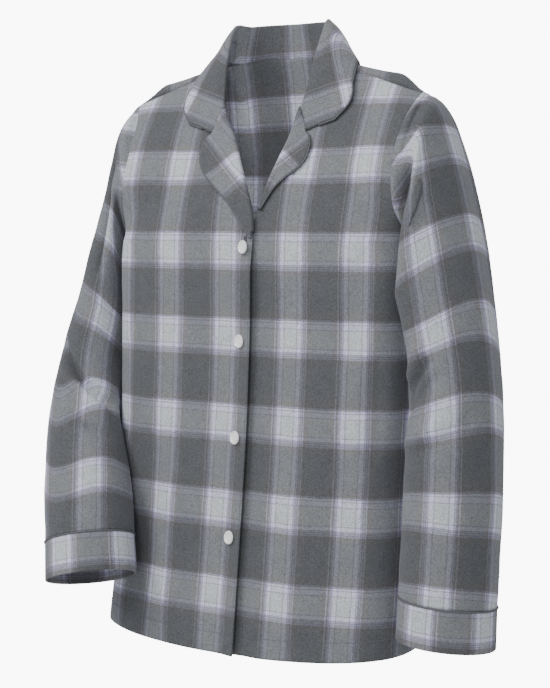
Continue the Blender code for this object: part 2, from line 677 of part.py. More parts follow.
def gorge_normals():
    """Normals of the under face along the gorge seam, which both pieces take."""
    run = np.gradient(gorge_row(), axis=0)
    normal = unit(np.cross(gorge_side(), run))
    return normal * (-1 if normal[-1, 1] > 0 else 1)


def lapel_row(roll_u, roll_z, edge_u, edge_z, break_z, is_left):
    """One row of a lapel, or the gorge seam that the collar shares."""
    roll_station = front_at(roll_u, roll_z, is_left)
    edge_station = front_at(edge_u, edge_z, is_left)
    radius = float(roll_radius(roll_z, break_z))
    crest = front_point(np.array(roll_u), np.array(roll_station), is_left)
    edge = front_point(np.array(edge_u), np.array(edge_station), is_left)
    out = front_normal(roll_u, roll_station, is_left)
    up = unit(crest - edge)
    up = unit(up - out * np.dot(up, out))
    seam_share = (radius + WALL) / np.linalg.norm(crest - edge)
    places = []
    for share in (0.22, 0.45, 0.70, 1.0):
        share = seam_share + (1 - seam_share) * share
        u = roll_u + (edge_u - roll_u) * share
        station = roll_station + (edge_station - roll_station) * share
        lift = 2 * radius + (LAPEL_LIFT - 2 * radius) * smoothstep(0.05, 0.75, share)
        places.append(front_point(np.array(u), np.array(station), is_left)
                      + front_normal(u, station, is_left) * lift)
    crest = crest + out * radius
    return fold_path((), crest, up, out, radius, places)


def collar_half_grid():
    """Rows from the centre back to the front end, columns from the neck seam over the roll to the edge."""
    stations = [row[0] for row in COLLAR]
    points = {name: np.array([row[place] for row in COLLAR], float)
              for place, name in enumerate(COLLAR_COLUMNS) if place}
    crest = on_front(NECK_ROLL_U, GORGE_Z, 0.0)
    notch = on_front(*NOTCH, LAPEL_LIFT)
    out = front_normal(NECK_ROLL_U, front_at(NECK_ROLL_U, GORGE_Z, False), False)
    ends = {"seam": crest + unit(notch - crest) * (ROLL_RADIUS + WALL), "roll": crest + out * ROLL_RADIUS,
            "middle": notch, "edge": on_front(*COLLAR_END, COLLAR_LIFT)}
    stations.extend((COLLAR_CORNER_STATION, 1.0))
    share = (COLLAR_CORNER_STATION - COLLAR[-1][0]) / (1.0 - COLLAR[-1][0])
    for name in points:
        between = points[name][-1] + (ends[name] - points[name][-1]) * share
        if name == "edge":
            between = on_front(*COLLAR_CORNER, COLLAR_LIFT)
        points[name] = np.vstack((points[name], between, ends[name]))
    at = np.linspace(0, 1, COLLAR_HALF_ROWS + 1)
    curve = {name: spline(stations, points[name], at) for name in points}
    tangent = unit(np.gradient(curve["roll"], axis=0))
    tangent[0] = (1, 0, 0)
    rows = []
    for row in range(len(at)):
        seam, roll = curve["seam"][row], curve["roll"][row]
        middle, edge = curve["middle"][row], curve["edge"][row]
        up = roll - (seam + middle) / 2
        up = unit(up - tangent[row] * np.dot(up, tangent[row]))
        facing = unit(np.cross(tangent[row], up)) * -1
        if np.dot(facing, middle - seam) < 0:
            facing = -facing
        stem = roll - up * (ROLL_RADIUS + WALL) - facing * ROLL_RADIUS
        stand = [seam + (stem - seam) * share for share in (0.0, 0.37, 0.74)]
        shoulder = roll - up * (ROLL_RADIUS + WALL) + facing * ROLL_RADIUS
        fall = [shoulder + (middle - shoulder) * 0.5 + facing * 0.0012, middle,
                middle + (edge - middle) * 0.5, edge]
        rows.append(fold_path(stand, roll, up, facing, ROLL_RADIUS, fall))
    grid = np.array(rows)
    grid[-1, COLLAR_STAND:COLLAR_STAND + len(GORGE_SHARED)] = gorge_row()[list(GORGE_SHARED)]
    grid[-1, :COLLAR_STAND] = grid[-1, COLLAR_STAND] + np.outer(STAND_END, unit(notch - crest))
    return grid


# ---- pieces -----------------------------------------------------------------
def make_body():
    """Back, two fronts and two sleeves, with shared steps at every seam."""
    flannel = ("flannel", FLANNEL, 0.92)
    middle = np.array((0.0, -0.005, -0.3))
    back = back_grid()
    axis = back.copy()
    axis[..., 0:2] = middle[0:2]
    back_normal = grid_normals(back, axis)
    back_step = -back_normal * WALL
    side_rows = np.s_[:LOW_ROWS + 1]
    arm_rows = np.s_[LOW_ROWS:]
    for is_left in (False, True):
        suffix = "left" if is_left else "right"
        flip = np.array((1.0 if is_left else -1.0, 1.0, 1.0))
        front = front_grid(is_left)
        axis = front.copy()
        axis[..., 0] = 0.05
        axis[..., 1] = 0.03
        front_normal_grid = grid_normals(front, axis)
        sleeve = sleeve_grid(is_left)
        sleeve_normal = ring_normals(sleeve)
        own_back = back_normal[:, -1 if is_left else 0] * flip
        front_step = -front_normal_grid * WALL
        back_edge = back_step[:, -1 if is_left else 0]
        front_step[side_rows, -1] = shared_offset(
            front_normal_grid[side_rows, -1], own_back[side_rows], WALL)
        back_edge[side_rows] = shared_offset(
            own_back[side_rows], front_normal_grid[side_rows, -1], WALL) * flip
        front_arm = sleeve_normal[0, :ARM_ROWS + 1]
        back_arm = np.vstack((sleeve_normal[0, 0], sleeve_normal[0, :ARM_ROWS - 1:-1]))
        front_step[arm_rows, -1] = shared_offset(front_normal_grid[arm_rows, -1], front_arm, WALL)
        back_edge[arm_rows] = shared_offset(own_back[arm_rows], back_arm, WALL) * flip
        sleeve_step = -sleeve_normal * WALL
        sleeve_step[0, :ARM_ROWS + 1] = shared_offset(front_arm, front_normal_grid[arm_rows, -1], WALL)
        sleeve_step[0, ARM_ROWS + 1:] = shared_offset(
            sleeve_normal[0, ARM_ROWS + 1:], own_back[arm_rows][::-1][1:ARM_ROWS], WALL)
        seam_run = unit(np.subtract(SHOULDER_POINT, SHOULDER_NECK))
        lean = unit(np.array(SHOULDER_LEAN) - seam_run * np.dot(SHOULDER_LEAN, seam_run))
        front_step[-1] = -lean * WALL
        on_seam = (back[-1, :, 0] * flip[0]) > SHOULDER_NECK[0] - 0.001
        back_step[-1, on_seam] = -lean * flip * WALL
        top = -unit(lean + sleeve_normal[0, ARM_ROWS]) * WALL
        front_step[-1, -1] = sleeve_step[0, ARM_ROWS] = top
        back_edge[-1] = top * flip
        under_arm = -unit(front_normal_grid[LOW_ROWS, -1] + sleeve_normal[0, 0]) * WALL
        front_step[LOW_ROWS, -1] = sleeve_step[0, 0] = under_arm
        back_edge[LOW_ROWS] = under_arm * flip
        sides = ("last_row", "last_column")
        wall("front_" + suffix, stand_back(front, sides), stand_back(front + front_step, sides),
             flannel, mirror=not is_left)
        sides = ("first_row", "last_row")
        wall("sleeve_" + suffix, stand_back(sleeve, sides), stand_back(sleeve + sleeve_step, sides),
             flannel, closed=True, mirror=not is_left)
        make_cuff(suffix, sleeve, sleeve_normal, is_left)
    sides = ("last_row", "last_column", "first_column")
    wall("back", stand_back(back, sides), stand_back(back + back_step, sides), flannel)


def make_cuff(suffix, sleeve, sleeve_normal, is_left):
    """Turned band below the sleeve, with a piping cord laid on its seam."""
    flip = np.array((1.0 if is_left else -1.0, 1.0, 1.0))
    seam = sleeve[-1]
    centre = seam.mean(axis=0)
    down = unit(centre - sleeve[-3].mean(axis=0))
    spread = seam - centre
    spread = unit(spread - down * (spread @ down)[:, None])
    rings = []
    for share in np.linspace(0, 1, CUFF_RINGS + 1):
        rings.append(seam + down * CUFF_HEIGHT * share + spread * CUFF_SPREAD * share)
    outer = np.array(rings)
    step = -np.repeat(spread[None], CUFF_RINGS + 1, axis=0) * CUFF_WALL
    step[0] = -sleeve_normal[-1] * CUFF_WALL
    wall("cuff_" + suffix, stand_back(outer, ("first_row",)), stand_back(outer + step, ("first_row",)),
         ("flannel_light", FLANNEL_LIGHT, 0.92), closed=True, mirror=not is_left)
    cord = seam + sleeve_normal[-1] * (PIPING_RADIUS + PIPING_GAP)
    tube("cuff_piping_" + suffix, cord * flip, PIPING_RADIUS, ("piping", PIPING, 0.8), closed=True)


def make_lapels():
    """Turned-back top of each front, and the cord along its edge."""
    for is_left in (False, True):
        suffix = "left" if is_left else "right"
        flip = np.array((1.0 if is_left else -1.0, 1.0, 1.0))
        under = lapel_grid(is_left)
        top = path_wall(under, 1, ((0, np.s_[:], np.s_[:], 1),))
        skins = [open_gorge(skin, 0, np.s_[:], gorge_side()) for skin in (under, top)]
        wall("lapel_" + suffix, skins[0], skins[1], ("flannel", FLANNEL, 0.92), mirror=not is_left)
        edges = [np.vstack((skin[1:2, -1] + (skin[0:1, -1] - skin[1:2, -1]) * CORD_REACH, skin[1:, -1]))
                 for skin in (under, top)]
        cord = rim_cord(edges[0], edges[1], under[:, -3].mean(axis=0))
        tube("lapel_piping_" + suffix, cord * flip, PIPING_RADIUS, ("piping", PIPING, 0.8))


def make_collar():
    """Stand and fall in one piece, and the cord along its front ends and outer edge."""
    half = collar_half_grid()
    under = np.concatenate((half[:0:-1] * (-1, 1, 1), half))
    shared = np.s_[:COLLAR_STAND + len(GORGE_SHARED)]
    places = [0] * COLLAR_STAND + list(GORGE_SHARED)
    top = path_wall(under, -1, ((0, shared, places, -1), (-1, shared, places, 1)))
    skins = []
    for skin in (under, top):
        skin = open_gorge(skin, 0, shared, -gorge_side() * (-1, 1, 1))
        skins.append(open_gorge(skin, -1, shared, -gorge_side()))
    wall("collar", skins[0], skins[1], ("flannel", FLANNEL, 0.92))
    cord = rim_cord(collar_rim(under), collar_rim(top), under[:, -3].mean(axis=0))
    tube("collar_piping", cord, PIPING_RADIUS, ("piping", PIPING, 0.8))


def make_buttons():
    """Two-hole buttons down the centre of the right front."""
    for number, (x, z) in enumerate(BUTTONS):
        fine = np.linspace(0, 1.4, 400)
        station = float(np.interp(z, body_point(np.zeros_like(fine), fine, False)[:, 2], fine))
        place = Vector(front_point(np.array(-x), np.array(station), False) * (-1, 1, 1))
        normal = Vector(front_normal(-x, station, False) * (-1, 1, 1))
        build = bmesh.new()
        ring = [build.verts.new((radius, 0.0, height)) for radius, height in BUTTON_PROFILE]
        edges = [build.edges.new(pair) for pair in zip(ring, ring[1:])]
        bmesh.ops.spin(build, geom=ring + edges, cent=(0, 0, 0), axis=(0, 0, 1), angle=2 * math.pi,
                       steps=BUTTON_SEGMENTS, use_merge=True)
        bmesh.ops.remove_doubles(build, verts=build.verts, dist=1e-6)
        turn = normal.to_track_quat("Z", "Y").to_matrix().to_4x4()
        button = finish("button_%d" % (number + 1), build, ("button_shell", SHELL_WHITE, 0.3))
        button.matrix_world = Matrix.Translation(place + normal * BUTTON_GAP) @ turn
        for side in (-1, 1):
            hole = bmesh.new()
            bmesh.ops.create_cone(hole, cap_ends=True, segments=8, radius1=BUTTON_HOLE_RADIUS,
                                  radius2=BUTTON_HOLE_RADIUS, depth=0.02)
            cutter = finish("hole_cutter", hole, ("button_shell", SHELL_WHITE, 0.3))
            cutter.parent = button
            cutter.location = (0, side * BUTTON_HOLE_OFFSET, 0)
            cutter.rotation_euler = (0, 0, 0.2)
            cutter.hide_render = True
            cutter.display_type = "WIRE"
            cut = button.modifiers.new("hole", "BOOLEAN")
            cut.operation = "DIFFERENCE"
            cut.object = cutter


for old in list(bpy.data.objects):
    bpy.data.objects.remove(old, do_unlink=True)
make_body()
make_lapels()
make_collar()
make_buttons()
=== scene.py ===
"""Plaid flannel pajama top, filled out as it is worn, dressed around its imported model."""
import math

import bmesh
import bpy
import numpy as np
from mathutils import Matrix, Vector, noise


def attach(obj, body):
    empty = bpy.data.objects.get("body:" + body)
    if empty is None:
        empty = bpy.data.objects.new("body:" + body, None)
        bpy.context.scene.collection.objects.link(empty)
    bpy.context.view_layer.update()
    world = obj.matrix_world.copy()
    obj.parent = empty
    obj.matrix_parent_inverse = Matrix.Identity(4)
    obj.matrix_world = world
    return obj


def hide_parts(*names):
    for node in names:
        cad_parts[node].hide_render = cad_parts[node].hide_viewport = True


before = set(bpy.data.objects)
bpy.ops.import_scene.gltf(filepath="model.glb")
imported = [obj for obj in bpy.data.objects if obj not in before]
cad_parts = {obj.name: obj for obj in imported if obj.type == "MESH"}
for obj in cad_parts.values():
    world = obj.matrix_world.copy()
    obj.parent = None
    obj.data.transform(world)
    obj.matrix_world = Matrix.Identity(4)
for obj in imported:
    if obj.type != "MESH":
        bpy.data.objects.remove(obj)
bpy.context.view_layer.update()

# ---- Studio -----------------------------------------------------------------
# The top hangs as if worn, well above a pale floor, in an even white surround. A
# broad soft light stands high on the left, a smaller one looks into the neck and one
# stands behind. A faint one inside the chest is the light that cloth gives back there.
EYE = (0.9, -1.5588, -0.168)
EYE_TURN = 30.0  # degrees round to the wearer's left
EYE_DROP = 4.67  # degrees down
EYE_LENS = 82.62  # mm, on a frame of this height
FRAME_HEIGHT = 36.0
FLOOR_Z = -1.25
FLOOR_RADIUS = 1.45
FLOOR_GREY = (0.90, 0.90, 0.90, 1.0)
SURROUND_TINT = (0.96, 0.98, 1.0, 1.0)
SURROUND_LIGHT = 0.50
PAPER_WHITE = 9.5  # what the camera sees past the top
LIGHTS = (  # name, place, aimed at, width, watts
    ("key", (-1.15, -1.8, 1.7), (0.0, 0.0, -0.20), 1.2, 40.0),
    ("front", (0.4, -1.9, 0.9), (0.0, 0.0, 0.0), 0.6, 13.0),
    ("inside", (0.0, 0.0, -0.31), (0.0, 0.04, -0.05), 0.07, 0.25),
    ("behind", (-0.6, 2.3, 1.4), (0.0, 0.0, -0.20), 1.6, 22.0),
)


def placed(name, data):
    """New object in the scene, at the origin."""
    thing = bpy.data.objects.new(name, data)
    bpy.context.scene.collection.objects.link(thing)
    return thing


def as_mesh(build, name):
    """Mesh of a finished bmesh, which is freed."""
    mesh = bpy.data.meshes.new(name)
    build.to_mesh(mesh)
    build.free()
    return mesh


def feed(tree, node, inputs):
    """Gives each named socket of a node its number or colour, or another node's output."""
    for socket, given in inputs.items():
        if isinstance(given, bpy.types.NodeSocket):
            tree.links.new(given, node.inputs[socket])
        else:
            node.inputs[socket].default_value = given


def wire(tree, kind, inputs, **settings):
    """New node of a material or of the surround, set and fed."""
    node = tree.nodes.new("ShaderNode" + kind)
    for name, value in settings.items():
        setattr(node, name, value)
    feed(tree, node, inputs)
    return node


def new_look(name):
    """New material, its node tree and its shader."""
    look = bpy.data.materials.new(name)
    look.use_nodes = True
    return look, look.node_tree, look.node_tree.nodes["Principled BSDF"]


camera_data = bpy.data.cameras.new("camera")
camera_data.sensor_fit = "VERTICAL"
camera_data.sensor_height = FRAME_HEIGHT
camera_data.lens = EYE_LENS
camera_data.clip_start = 0.05
camera = placed("camera", camera_data)
camera.location = EYE
camera.rotation_euler = (math.radians(90 - EYE_DROP), 0.0, math.radians(EYE_TURN))
bpy.context.scene.camera = camera

floor_look, tree, shader = new_look("pale floor")
feed(tree, shader, {"Base Color": FLOOR_GREY, "Roughness": 0.95})
build = bmesh.new()
bmesh.ops.create_circle(build, cap_ends=True, segments=96, radius=FLOOR_RADIUS)
bmesh.ops.translate(build, vec=(0, 0, FLOOR_Z), verts=build.verts)
floor = placed("floor", as_mesh(build, "floor"))
floor.data.materials.append(floor_look)

surround = bpy.data.worlds.new("surround")
surround.use_nodes = True
tree = surround.node_tree
around_light = tree.nodes["Background"]
feed(tree, around_light, {"Color": SURROUND_TINT, "Strength": SURROUND_LIGHT})
paper = wire(tree, "Background", {"Color": (1.0, 1.0, 1.0, 1.0), "Strength": PAPER_WHITE})
seen = wire(tree, "LightPath", {}).outputs["Is Camera Ray"]
either = wire(tree, "MixShader", {0: seen, 1: around_light.outputs[0], 2: paper.outputs[0]})
feed(tree, tree.nodes["World Output"], {"Surface": either.outputs[0]})
bpy.context.scene.world = surround

for light_name, place, aim, width, watts in LIGHTS:
    light_data = bpy.data.lights.new(light_name, "AREA")
    light_data.size = width
    light_data.energy = watts
    light = placed(light_name, light_data)
    light.location = place
    light.rotation_euler = (Vector(aim) - Vector(place)).to_track_quat("-Z", "Y").to_euler()

# ---- Brushed flannel --------------------------------------------------------
# Yarn-dyed cotton, woven in a two-way plaid and brushed on both sides, so that
# the stripes of warp and weft blend half and half under a soft, mottled nap.
WARP_REPEAT = 0.0755
WEFT_REPEAT = 0.0944
LAVENDER = (0.780, 0.765, 0.965, 1.0)
PALE = (0.630, 0.665, 0.690, 1.0)
SOFT_LIGHT = (0.430, 0.420, 0.560, 1.0)
FINE_LIGHT = (0.300, 0.295, 0.390, 1.0)
INK_LINE = (0.215, 0.195, 0.320, 1.0)
EDGE_LINE = (0.135, 0.125, 0.170, 1.0)
WARM_DARK = (0.127, 0.120, 0.121, 1.0)
COOL_DARK = (0.113, 0.119, 0.127, 1.0)
WARP_STRIPES = (  # share of the repeat, and the colour there
    (0.000, FINE_LIGHT), (0.014, EDGE_LINE), (0.028, SOFT_LIGHT), (0.042, INK_LINE), (0.056, LAVENDER),
    (0.104, LAVENDER), (0.116, INK_LINE), (0.130, PALE), (0.310, PALE), (0.322, INK_LINE),
    (0.336, LAVENDER), (0.388, LAVENDER), (0.400, INK_LINE), (0.414, SOFT_LIGHT), (0.428, EDGE_LINE),
    (0.443, FINE_LIGHT), (0.459, WARM_DARK), (0.475, FINE_LIGHT), (0.491, WARM_DARK), (0.620, COOL_DARK),
    (0.840, COOL_DARK), (0.952, WARM_DARK), (0.966, FINE_LIGHT), (0.982, WARM_DARK),
)
WEFT_STRIPES = (
    (0.000, EDGE_LINE), (0.009, FINE_LIGHT), (0.019, EDGE_LINE), (0.029, LAVENDER), (0.040, LAVENDER),
    (0.050, INK_LINE), (0.060, LAVENDER), (0.106, LAVENDER), (0.115, INK_LINE), (0.124, PALE),
    (0.326, PALE), (0.335, INK_LINE), (0.344, LAVENDER), (0.376, LAVENDER), (0.386, INK_LINE),
    (0.396, SOFT_LIGHT), (0.406, EDGE_LINE), (0.417, SOFT_LIGHT), (0.428, EDGE_LINE), (0.440, FINE_LIGHT),
    (0.455, WARM_DARK), (0.560, COOL_DARK), (0.860, COOL_DARK), (0.985, WARM_DARK),
)
THREAD_WANDER = (0.0016, 0.0016, 0.0)  # threads stray from their line by up to this much
CLOUD_ROUGHNESS = 0.6
CLOUD_LOW = 0.32  # nearly all of a noise lies between these two
CLOUD_HIGH = 0.68


def stripes(tree, measure, repeat, stops):
    """Colour of one set of threads, from a distance across them in metres."""
    repeats = wire(tree, "Math", {0: measure, 1: repeat}, operation="DIVIDE").outputs[0]
    share = wire(tree, "Math", {0: repeats}, operation="FRACT").outputs[0]
    ramp = wire(tree, "ValToRGB", {0: share})
    elements = ramp.color_ramp.elements
    elements.remove(elements[1])
    elements[0].position, elements[0].color = stops[0]
    for position, colour in stops[1:]:
        elements.new(position).color = colour
    return ramp.outputs[0]


def mottle(tree, place, scale, detail, low, high):
    """Fine noise between two numbers."""
    cloud = wire(tree, "TexNoise", {"Scale": scale, "Detail": detail, "Roughness": CLOUD_ROUGHNESS,
                                    "Vector": place})
    return wire(tree, "MapRange", {"From Min": CLOUD_LOW, "From Max": CLOUD_HIGH, "To Min": low,
                                   "To Max": high, "Value": cloud.outputs["Fac"]}).outputs[0]


def vectors(tree, operation, *inputs):
    """Result of one sum on colours or places."""
    return wire(tree, "VectorMath", dict(enumerate(inputs)), operation=operation).outputs[0]


def make_flannel():
    """Stripes of both threads on each piece's own cut, with the nap as mottling and as bump."""
    look, tree, shader = new_look("brushed plaid flannel")
    cut = wire(tree, "UVMap", {}, uv_map="plaid").outputs["UV"]
    where = wire(tree, "TexCoord", {}).outputs["Object"]
    wander = wire(tree, "TexNoise", {"Scale": 55.0, "Vector": where}).outputs["Color"]
    parts = wire(tree, "SeparateXYZ", {0: vectors(tree, "MULTIPLY_ADD", wander, THREAD_WANDER, cut)})
    warp = stripes(tree, parts.outputs["X"], WARP_REPEAT, WARP_STRIPES)
    weft = stripes(tree, parts.outputs["Y"], WEFT_REPEAT, WEFT_STRIPES)
    # half of the blend is the even mean of both threads, half a mean that the darker one pulls down
    both = vectors(tree, "MULTIPLY", warp, weft)
    dark_mean = vectors(tree, "DIVIDE", both, vectors(tree, "ADD", warp, weft))
    even_mean = wire(tree, "Gamma", {"Color": both, "Gamma": 0.5}).outputs[0]
    blend = vectors(tree, "MULTIPLY_ADD", even_mean, (0.5, 0.5, 0.5), dark_mean)
    fluff = wire(tree, "Math", {0: mottle(tree, where, 560.0, 3.0, 0.75, 1.25),
                                1: mottle(tree, where, 75.0, 2.0, 0.95, 1.05)}, operation="MULTIPLY")
    tone = wire(tree, "VectorMath", {0: blend, "Scale": fluff.outputs[0]}, operation="SCALE")
    nap = wire(tree, "Bump", {"Strength": 0.45, "Distance": 0.0005,
                              "Height": mottle(tree, where, 900.0, 4.0, 0.0, 1.0)})
    feed(tree, shader, {"Base Color": tone.outputs[0], "Normal": nap.outputs["Normal"], "Roughness": 0.96,
                        "Specular IOR Level": 0.15, "Sheen Weight": 0.18, "Sheen Roughness": 0.55,
                        "Sheen Tint": (0.90, 0.92, 1.0, 1.0)})
    return look


flannel = make_flannel()

# ---- Back and fronts --------------------------------------------------------
# Three panels of one layer of flannel: a back, and two fronts that meet at the
# side and shoulder seams. The wearer's right front laps over the left one.
SIDES = (("right", np.array((-1.0, 1.0, 1.0))), ("left", np.array((1.0, 1.0, 1.0))))
SHEET = 0.0012  # one layer with its nap
ROWS_TO_ARM = 150
ROWS_AT_ARM = 60
SEAM_PUFF = 0.0008  # cloth swells this much beside the seam that holds it down
PUFF_NEAR = 0.0022  # it has swelled by here, and is flat again by there
PUFF_FAR = 0.035
PUFF_KEPT = 0.02  # share of the swell that stays on a seam
BODY_UNEVEN = ((0.0008, 0.060), (0.0003, 0.022))  # height and size of slow and fine unevenness
CALM_NEAR = 0.03  # it dies away this near a seam
FRONT_INSIDE = (0.05, 0.03)  # x and y of upright lines inside the body, for the normals
BACK_INSIDE = (0.0, -0.005)
FRONT_PULL_FROM = 1.55  # stations from which the rows bend up to the shoulder seam
BACK_PULL_FROM = 1.45
FRONT_FOLDS_TO = 1.7  # folds die away from this station up to the shoulder
BACK_FOLDS_TO = 1.6
FOLDS_NEAR_CLOSING = 0.03  # and this near the closing edge and the side seam
FOLDS_NEAR_SIDE = 0.02
SLOPE_FROM = 1.3  # above this station the weft follows the cloth, not the height
SHOULDER_RIDGE = 0.0190  # the top of the shoulder is this far above its seam
RIDGE_DEPTH = 0.4  # in stations down the back, steeper on top
RIDGE_LEAN = 0.7
RIDGE_REACH = (0.045, 0.085, 0.150)  # from the centre: where it starts, is full, starts to fall
ROLL_RADIUS = 0.0024  # inside radius where lapel and collar fold over
ROLL_AT_BREAK = 0.35  # share of it left where the fold begins
ROLL_GROWS = 0.045  # it is whole this far above the break
SETBACK_BELOW = (0.012, 0.004)  # the front's edge starts to stand back this far below the break
SETBACK_ABOVE = 0.012  # and is forward again this far above the gorge
UNDER_TUCK = 0.0033  # the left front lies this far behind the right one
LAP_REACH = (0.022, 0.048)  # from here to there in u, and in z, the tuck dies away
LAP_TOP = (-0.150, -0.120)
BODY_COLUMNS = ("station", "centre_z", "depth_y", "roundness", "turn")
FRONT_SECTIONS = (
    (0.00, -0.648, -0.1160, 2.7, 0.37),
    (0.25, -0.532, -0.1000, 2.8, 0.36),
    (0.50, -0.418, -0.0865, 3.4, 0.30),
    (0.75, -0.306, -0.0775, 4.2, 0.25),
    (1.00, -0.198, -0.0755, 4.2, 0.27),
    (1.20, -0.160, -0.0695, 3.6, 0.50),
    (1.40, -0.122, -0.0575, 2.6, 0.85),
    (1.60, -0.082, -0.0390, 2.4, 1.00),
    (1.80, -0.040, -0.0220, 2.2, 1.00),
    (2.00, 0.006, 0.0010, 2.0, 1.00),
)
BACK_SECTIONS = (
    (0.00, -0.642, 0.0440, 2.7, 0.37),
    (0.25, -0.529, 0.0520, 2.8, 0.36),
    (0.50, -0.417, 0.0580, 2.9, 0.35),
    (0.75, -0.306, 0.0630, 2.9, 0.35),
    (1.00, -0.198, 0.0690, 2.9, 0.36),
    (1.20, -0.155, 0.0725, 2.8, 0.50),
    (1.40, -0.110, 0.0735, 2.6, 0.75),
    (1.60, -0.066, 0.0710, 2.4, 0.95),
    (1.80, -0.026, 0.0655, 2.2, 1.00),
    (2.00, 0.0125, 0.0560, 2.0, 1.00),
)
SIDE_SEAM = (  # station, x, y, z
    (0.00, 0.1905, -0.0370, -0.638),
    (0.12, 0.1875, -0.0320, -0.584),
    (0.25, 0.1855, -0.0250, -0.527),
    (0.50, 0.1845, -0.0150, -0.415),
    (0.75, 0.1845, -0.0060, -0.305),
    (1.00, 0.1850, 0.0000, -0.198),
)
# degrees from the underarm, by the front, over the shoulder point at 180, and down the back
ARMHOLE = (  # degrees, x, y, z
    (0, 0.1850, 0.0000, -0.198),
    (30, 0.1815, -0.0290, -0.189),
    (60, 0.1745, -0.0500, -0.165),
    (90, 0.1715, -0.0550, -0.132),
    (120, 0.1705, -0.0440, -0.097),
    (150, 0.1738, -0.0235, -0.063),
    (180, 0.1826, -0.0020, -0.038),
    (210, 0.1800, 0.0180, -0.042),
    (240, 0.1750, 0.0370, -0.075),
    (270, 0.1720, 0.0490, -0.121),
    (300, 0.1735, 0.0455, -0.165),
    (330, 0.1790, 0.0260, -0.189),
)
# u of each front's edge: closing edge, then roll line, then neck seam up to the shoulder
EDGE_COLUMNS = ("z", "right", "left")
FRONT_EDGE = (
    (-0.650, -0.0150, -0.0150),
    (-0.240, -0.0150, -0.0150),
    (-0.190, -0.0150, 0.0060),
    (-0.166, -0.0140, 0.0160),
    (-0.141, -0.0040, 0.0240),
    (-0.110, 0.0120, 0.0345),
    (-0.081, 0.0280, 0.0425),
    (-0.049, 0.0490, 0.0490),
    (-0.024, 0.0620, 0.0620),
    (0.006, 0.0720, 0.0720),
)
CLOSING_U = -0.015
SIDE_REACH = 0.184  # panels end about this far from the centre plane
EDGE_CURL = 0.0050  # the free edge stands off the front below by this much more
EDGE_CURL_WIDTH = 0.014
EDGE_CURL_BELOW = (0.005, 0.045)  # it grows between these two distances below the break
GORGE_Z = -0.049
BREAK_Z = {"right": -0.184, "left": -0.163}
SHOULDER_NECK = (0.0720, 0.0040, 0.0000)
SHOULDER_POINT = (0.1826, -0.0020, -0.0380)
FRONT_FOLDS = (  # a is u, b is height z
    (0.150, -0.200, 0.128, -0.330, 0.013, 0.0030),
    (0.120, -0.420, 0.128, -0.620, 0.020, 0.0035),
    (0.072, -0.460, 0.080, -0.630, 0.018, -0.0025),
    (0.162, -0.310, 0.158, -0.430, 0.010, 0.0030),
)
BACK_FOLDS = (
    (0.140, -0.170, 0.105, -0.300, 0.016, 0.0040),
    (0.060, -0.380, 0.075, -0.620, 0.020, 0.0035),
    (-0.140, -0.170, -0.105, -0.300, 0.016, 0.0040),
    (-0.040, -0.400, -0.062, -0.620, 0.022, 0.0030),
    (0.010, -0.120, 0.006, -0.330, 0.018, 0.0020),
)
BACK_NECK = (  # u, y, z
    (0.000, 0.0560, 0.0125),
    (0.022, 0.0548, 0.0124),
    (0.044, 0.0468, 0.0112),
    (0.060, 0.0330, 0.0080),
    (0.069, 0.0180, 0.0040),
    (0.072, 0.0040, 0.0000),
)
STATIONS_UP = np.concatenate((np.linspace(0, 1, ROWS_TO_ARM + 1), np.linspace(1, 2, ROWS_AT_ARM + 1)[1:]))
FRONT_SHARES = np.concatenate(((0, 0.005, 0.011), np.linspace(0.02, 0.98, 62), (0.989, 0.995, 1)))
BACK_SHARES = np.concatenate((np.linspace(0, 0.98, 66), (0.989, 0.995, 1)))


def spline(stations, values, at):
    """Values at the places asked for, on a smooth curve through a table's rows."""
    stations = np.asarray(stations, float)
    values = np.asarray(values, float)
    slopes = np.gradient(values, stations, axis=0)
    at = np.clip(np.asarray(at, float), stations[0], stations[-1])
    row = np.clip(np.searchsorted(stations, at, side="right") - 1, 0, len(stations) - 2)
    step = stations[row + 1] - stations[row]
    part = (at - stations[row]) / step
    spare = (1,) * (values.ndim - 1)
    part = part.reshape(part.shape + spare)
    step = step.reshape(step.shape + spare)
    keep = 2 * part ** 3 - 3 * part ** 2 + 1
    rise = part ** 3 - 2 * part ** 2 + part
    fall = part ** 3 - part ** 2
    return (keep * values[row] + (1 - keep) * values[row + 1]
            + step * (rise * slopes[row] + fall * slopes[row + 1]))


def column(table, names, name, at):
    """One named column of a table, at the places asked for along its first column."""
    rows = np.array(table, float)
    return spline(rows[:, 0], rows[:, names.index(name)], at)


def smoothstep(low, high, value):
    """From 0 at the low place to 1 at the high one, without a kink."""
    part = np.clip((np.asarray(value, float) - low) / (high - low), 0, 1)
    return part * part * (3 - 2 * part)


def unit(arrows):
    """The same directions, of length one."""
    return arrows / np.maximum(np.linalg.norm(arrows, axis=-1, keepdims=True), 1e-12)


def running(steps, axis):
    """Running sum of steps along an axis, from 0."""
    return np.insert(np.cumsum(steps, axis=axis), 0, 0.0, axis=axis)


def run_length(line):
    """Distance along a line of places, from its start."""
    return running(np.linalg.norm(np.diff(line, axis=0), axis=1), 0)


def creases(table, a, b):
    """Depth of a table's folds at the places (a, b), in metres."""
    depth = np.zeros(np.broadcast(a, b).shape)
    for from_a, from_b, to_a, to_b, width, deep in table:
        run = np.array((to_a - from_a, to_b - from_b))
        length = np.hypot(*run)
        along = ((a - from_a) * run[0] + (b - from_b) * run[1]) / length
        across = ((a - from_a) * run[1] - (b - from_b) * run[0]) / length
        ends = smoothstep(-width, width * 1.5, along) * smoothstep(-width, width * 1.5, length - along)
        depth += deep * ends * np.exp(-(across / width) ** 2)
    return depth


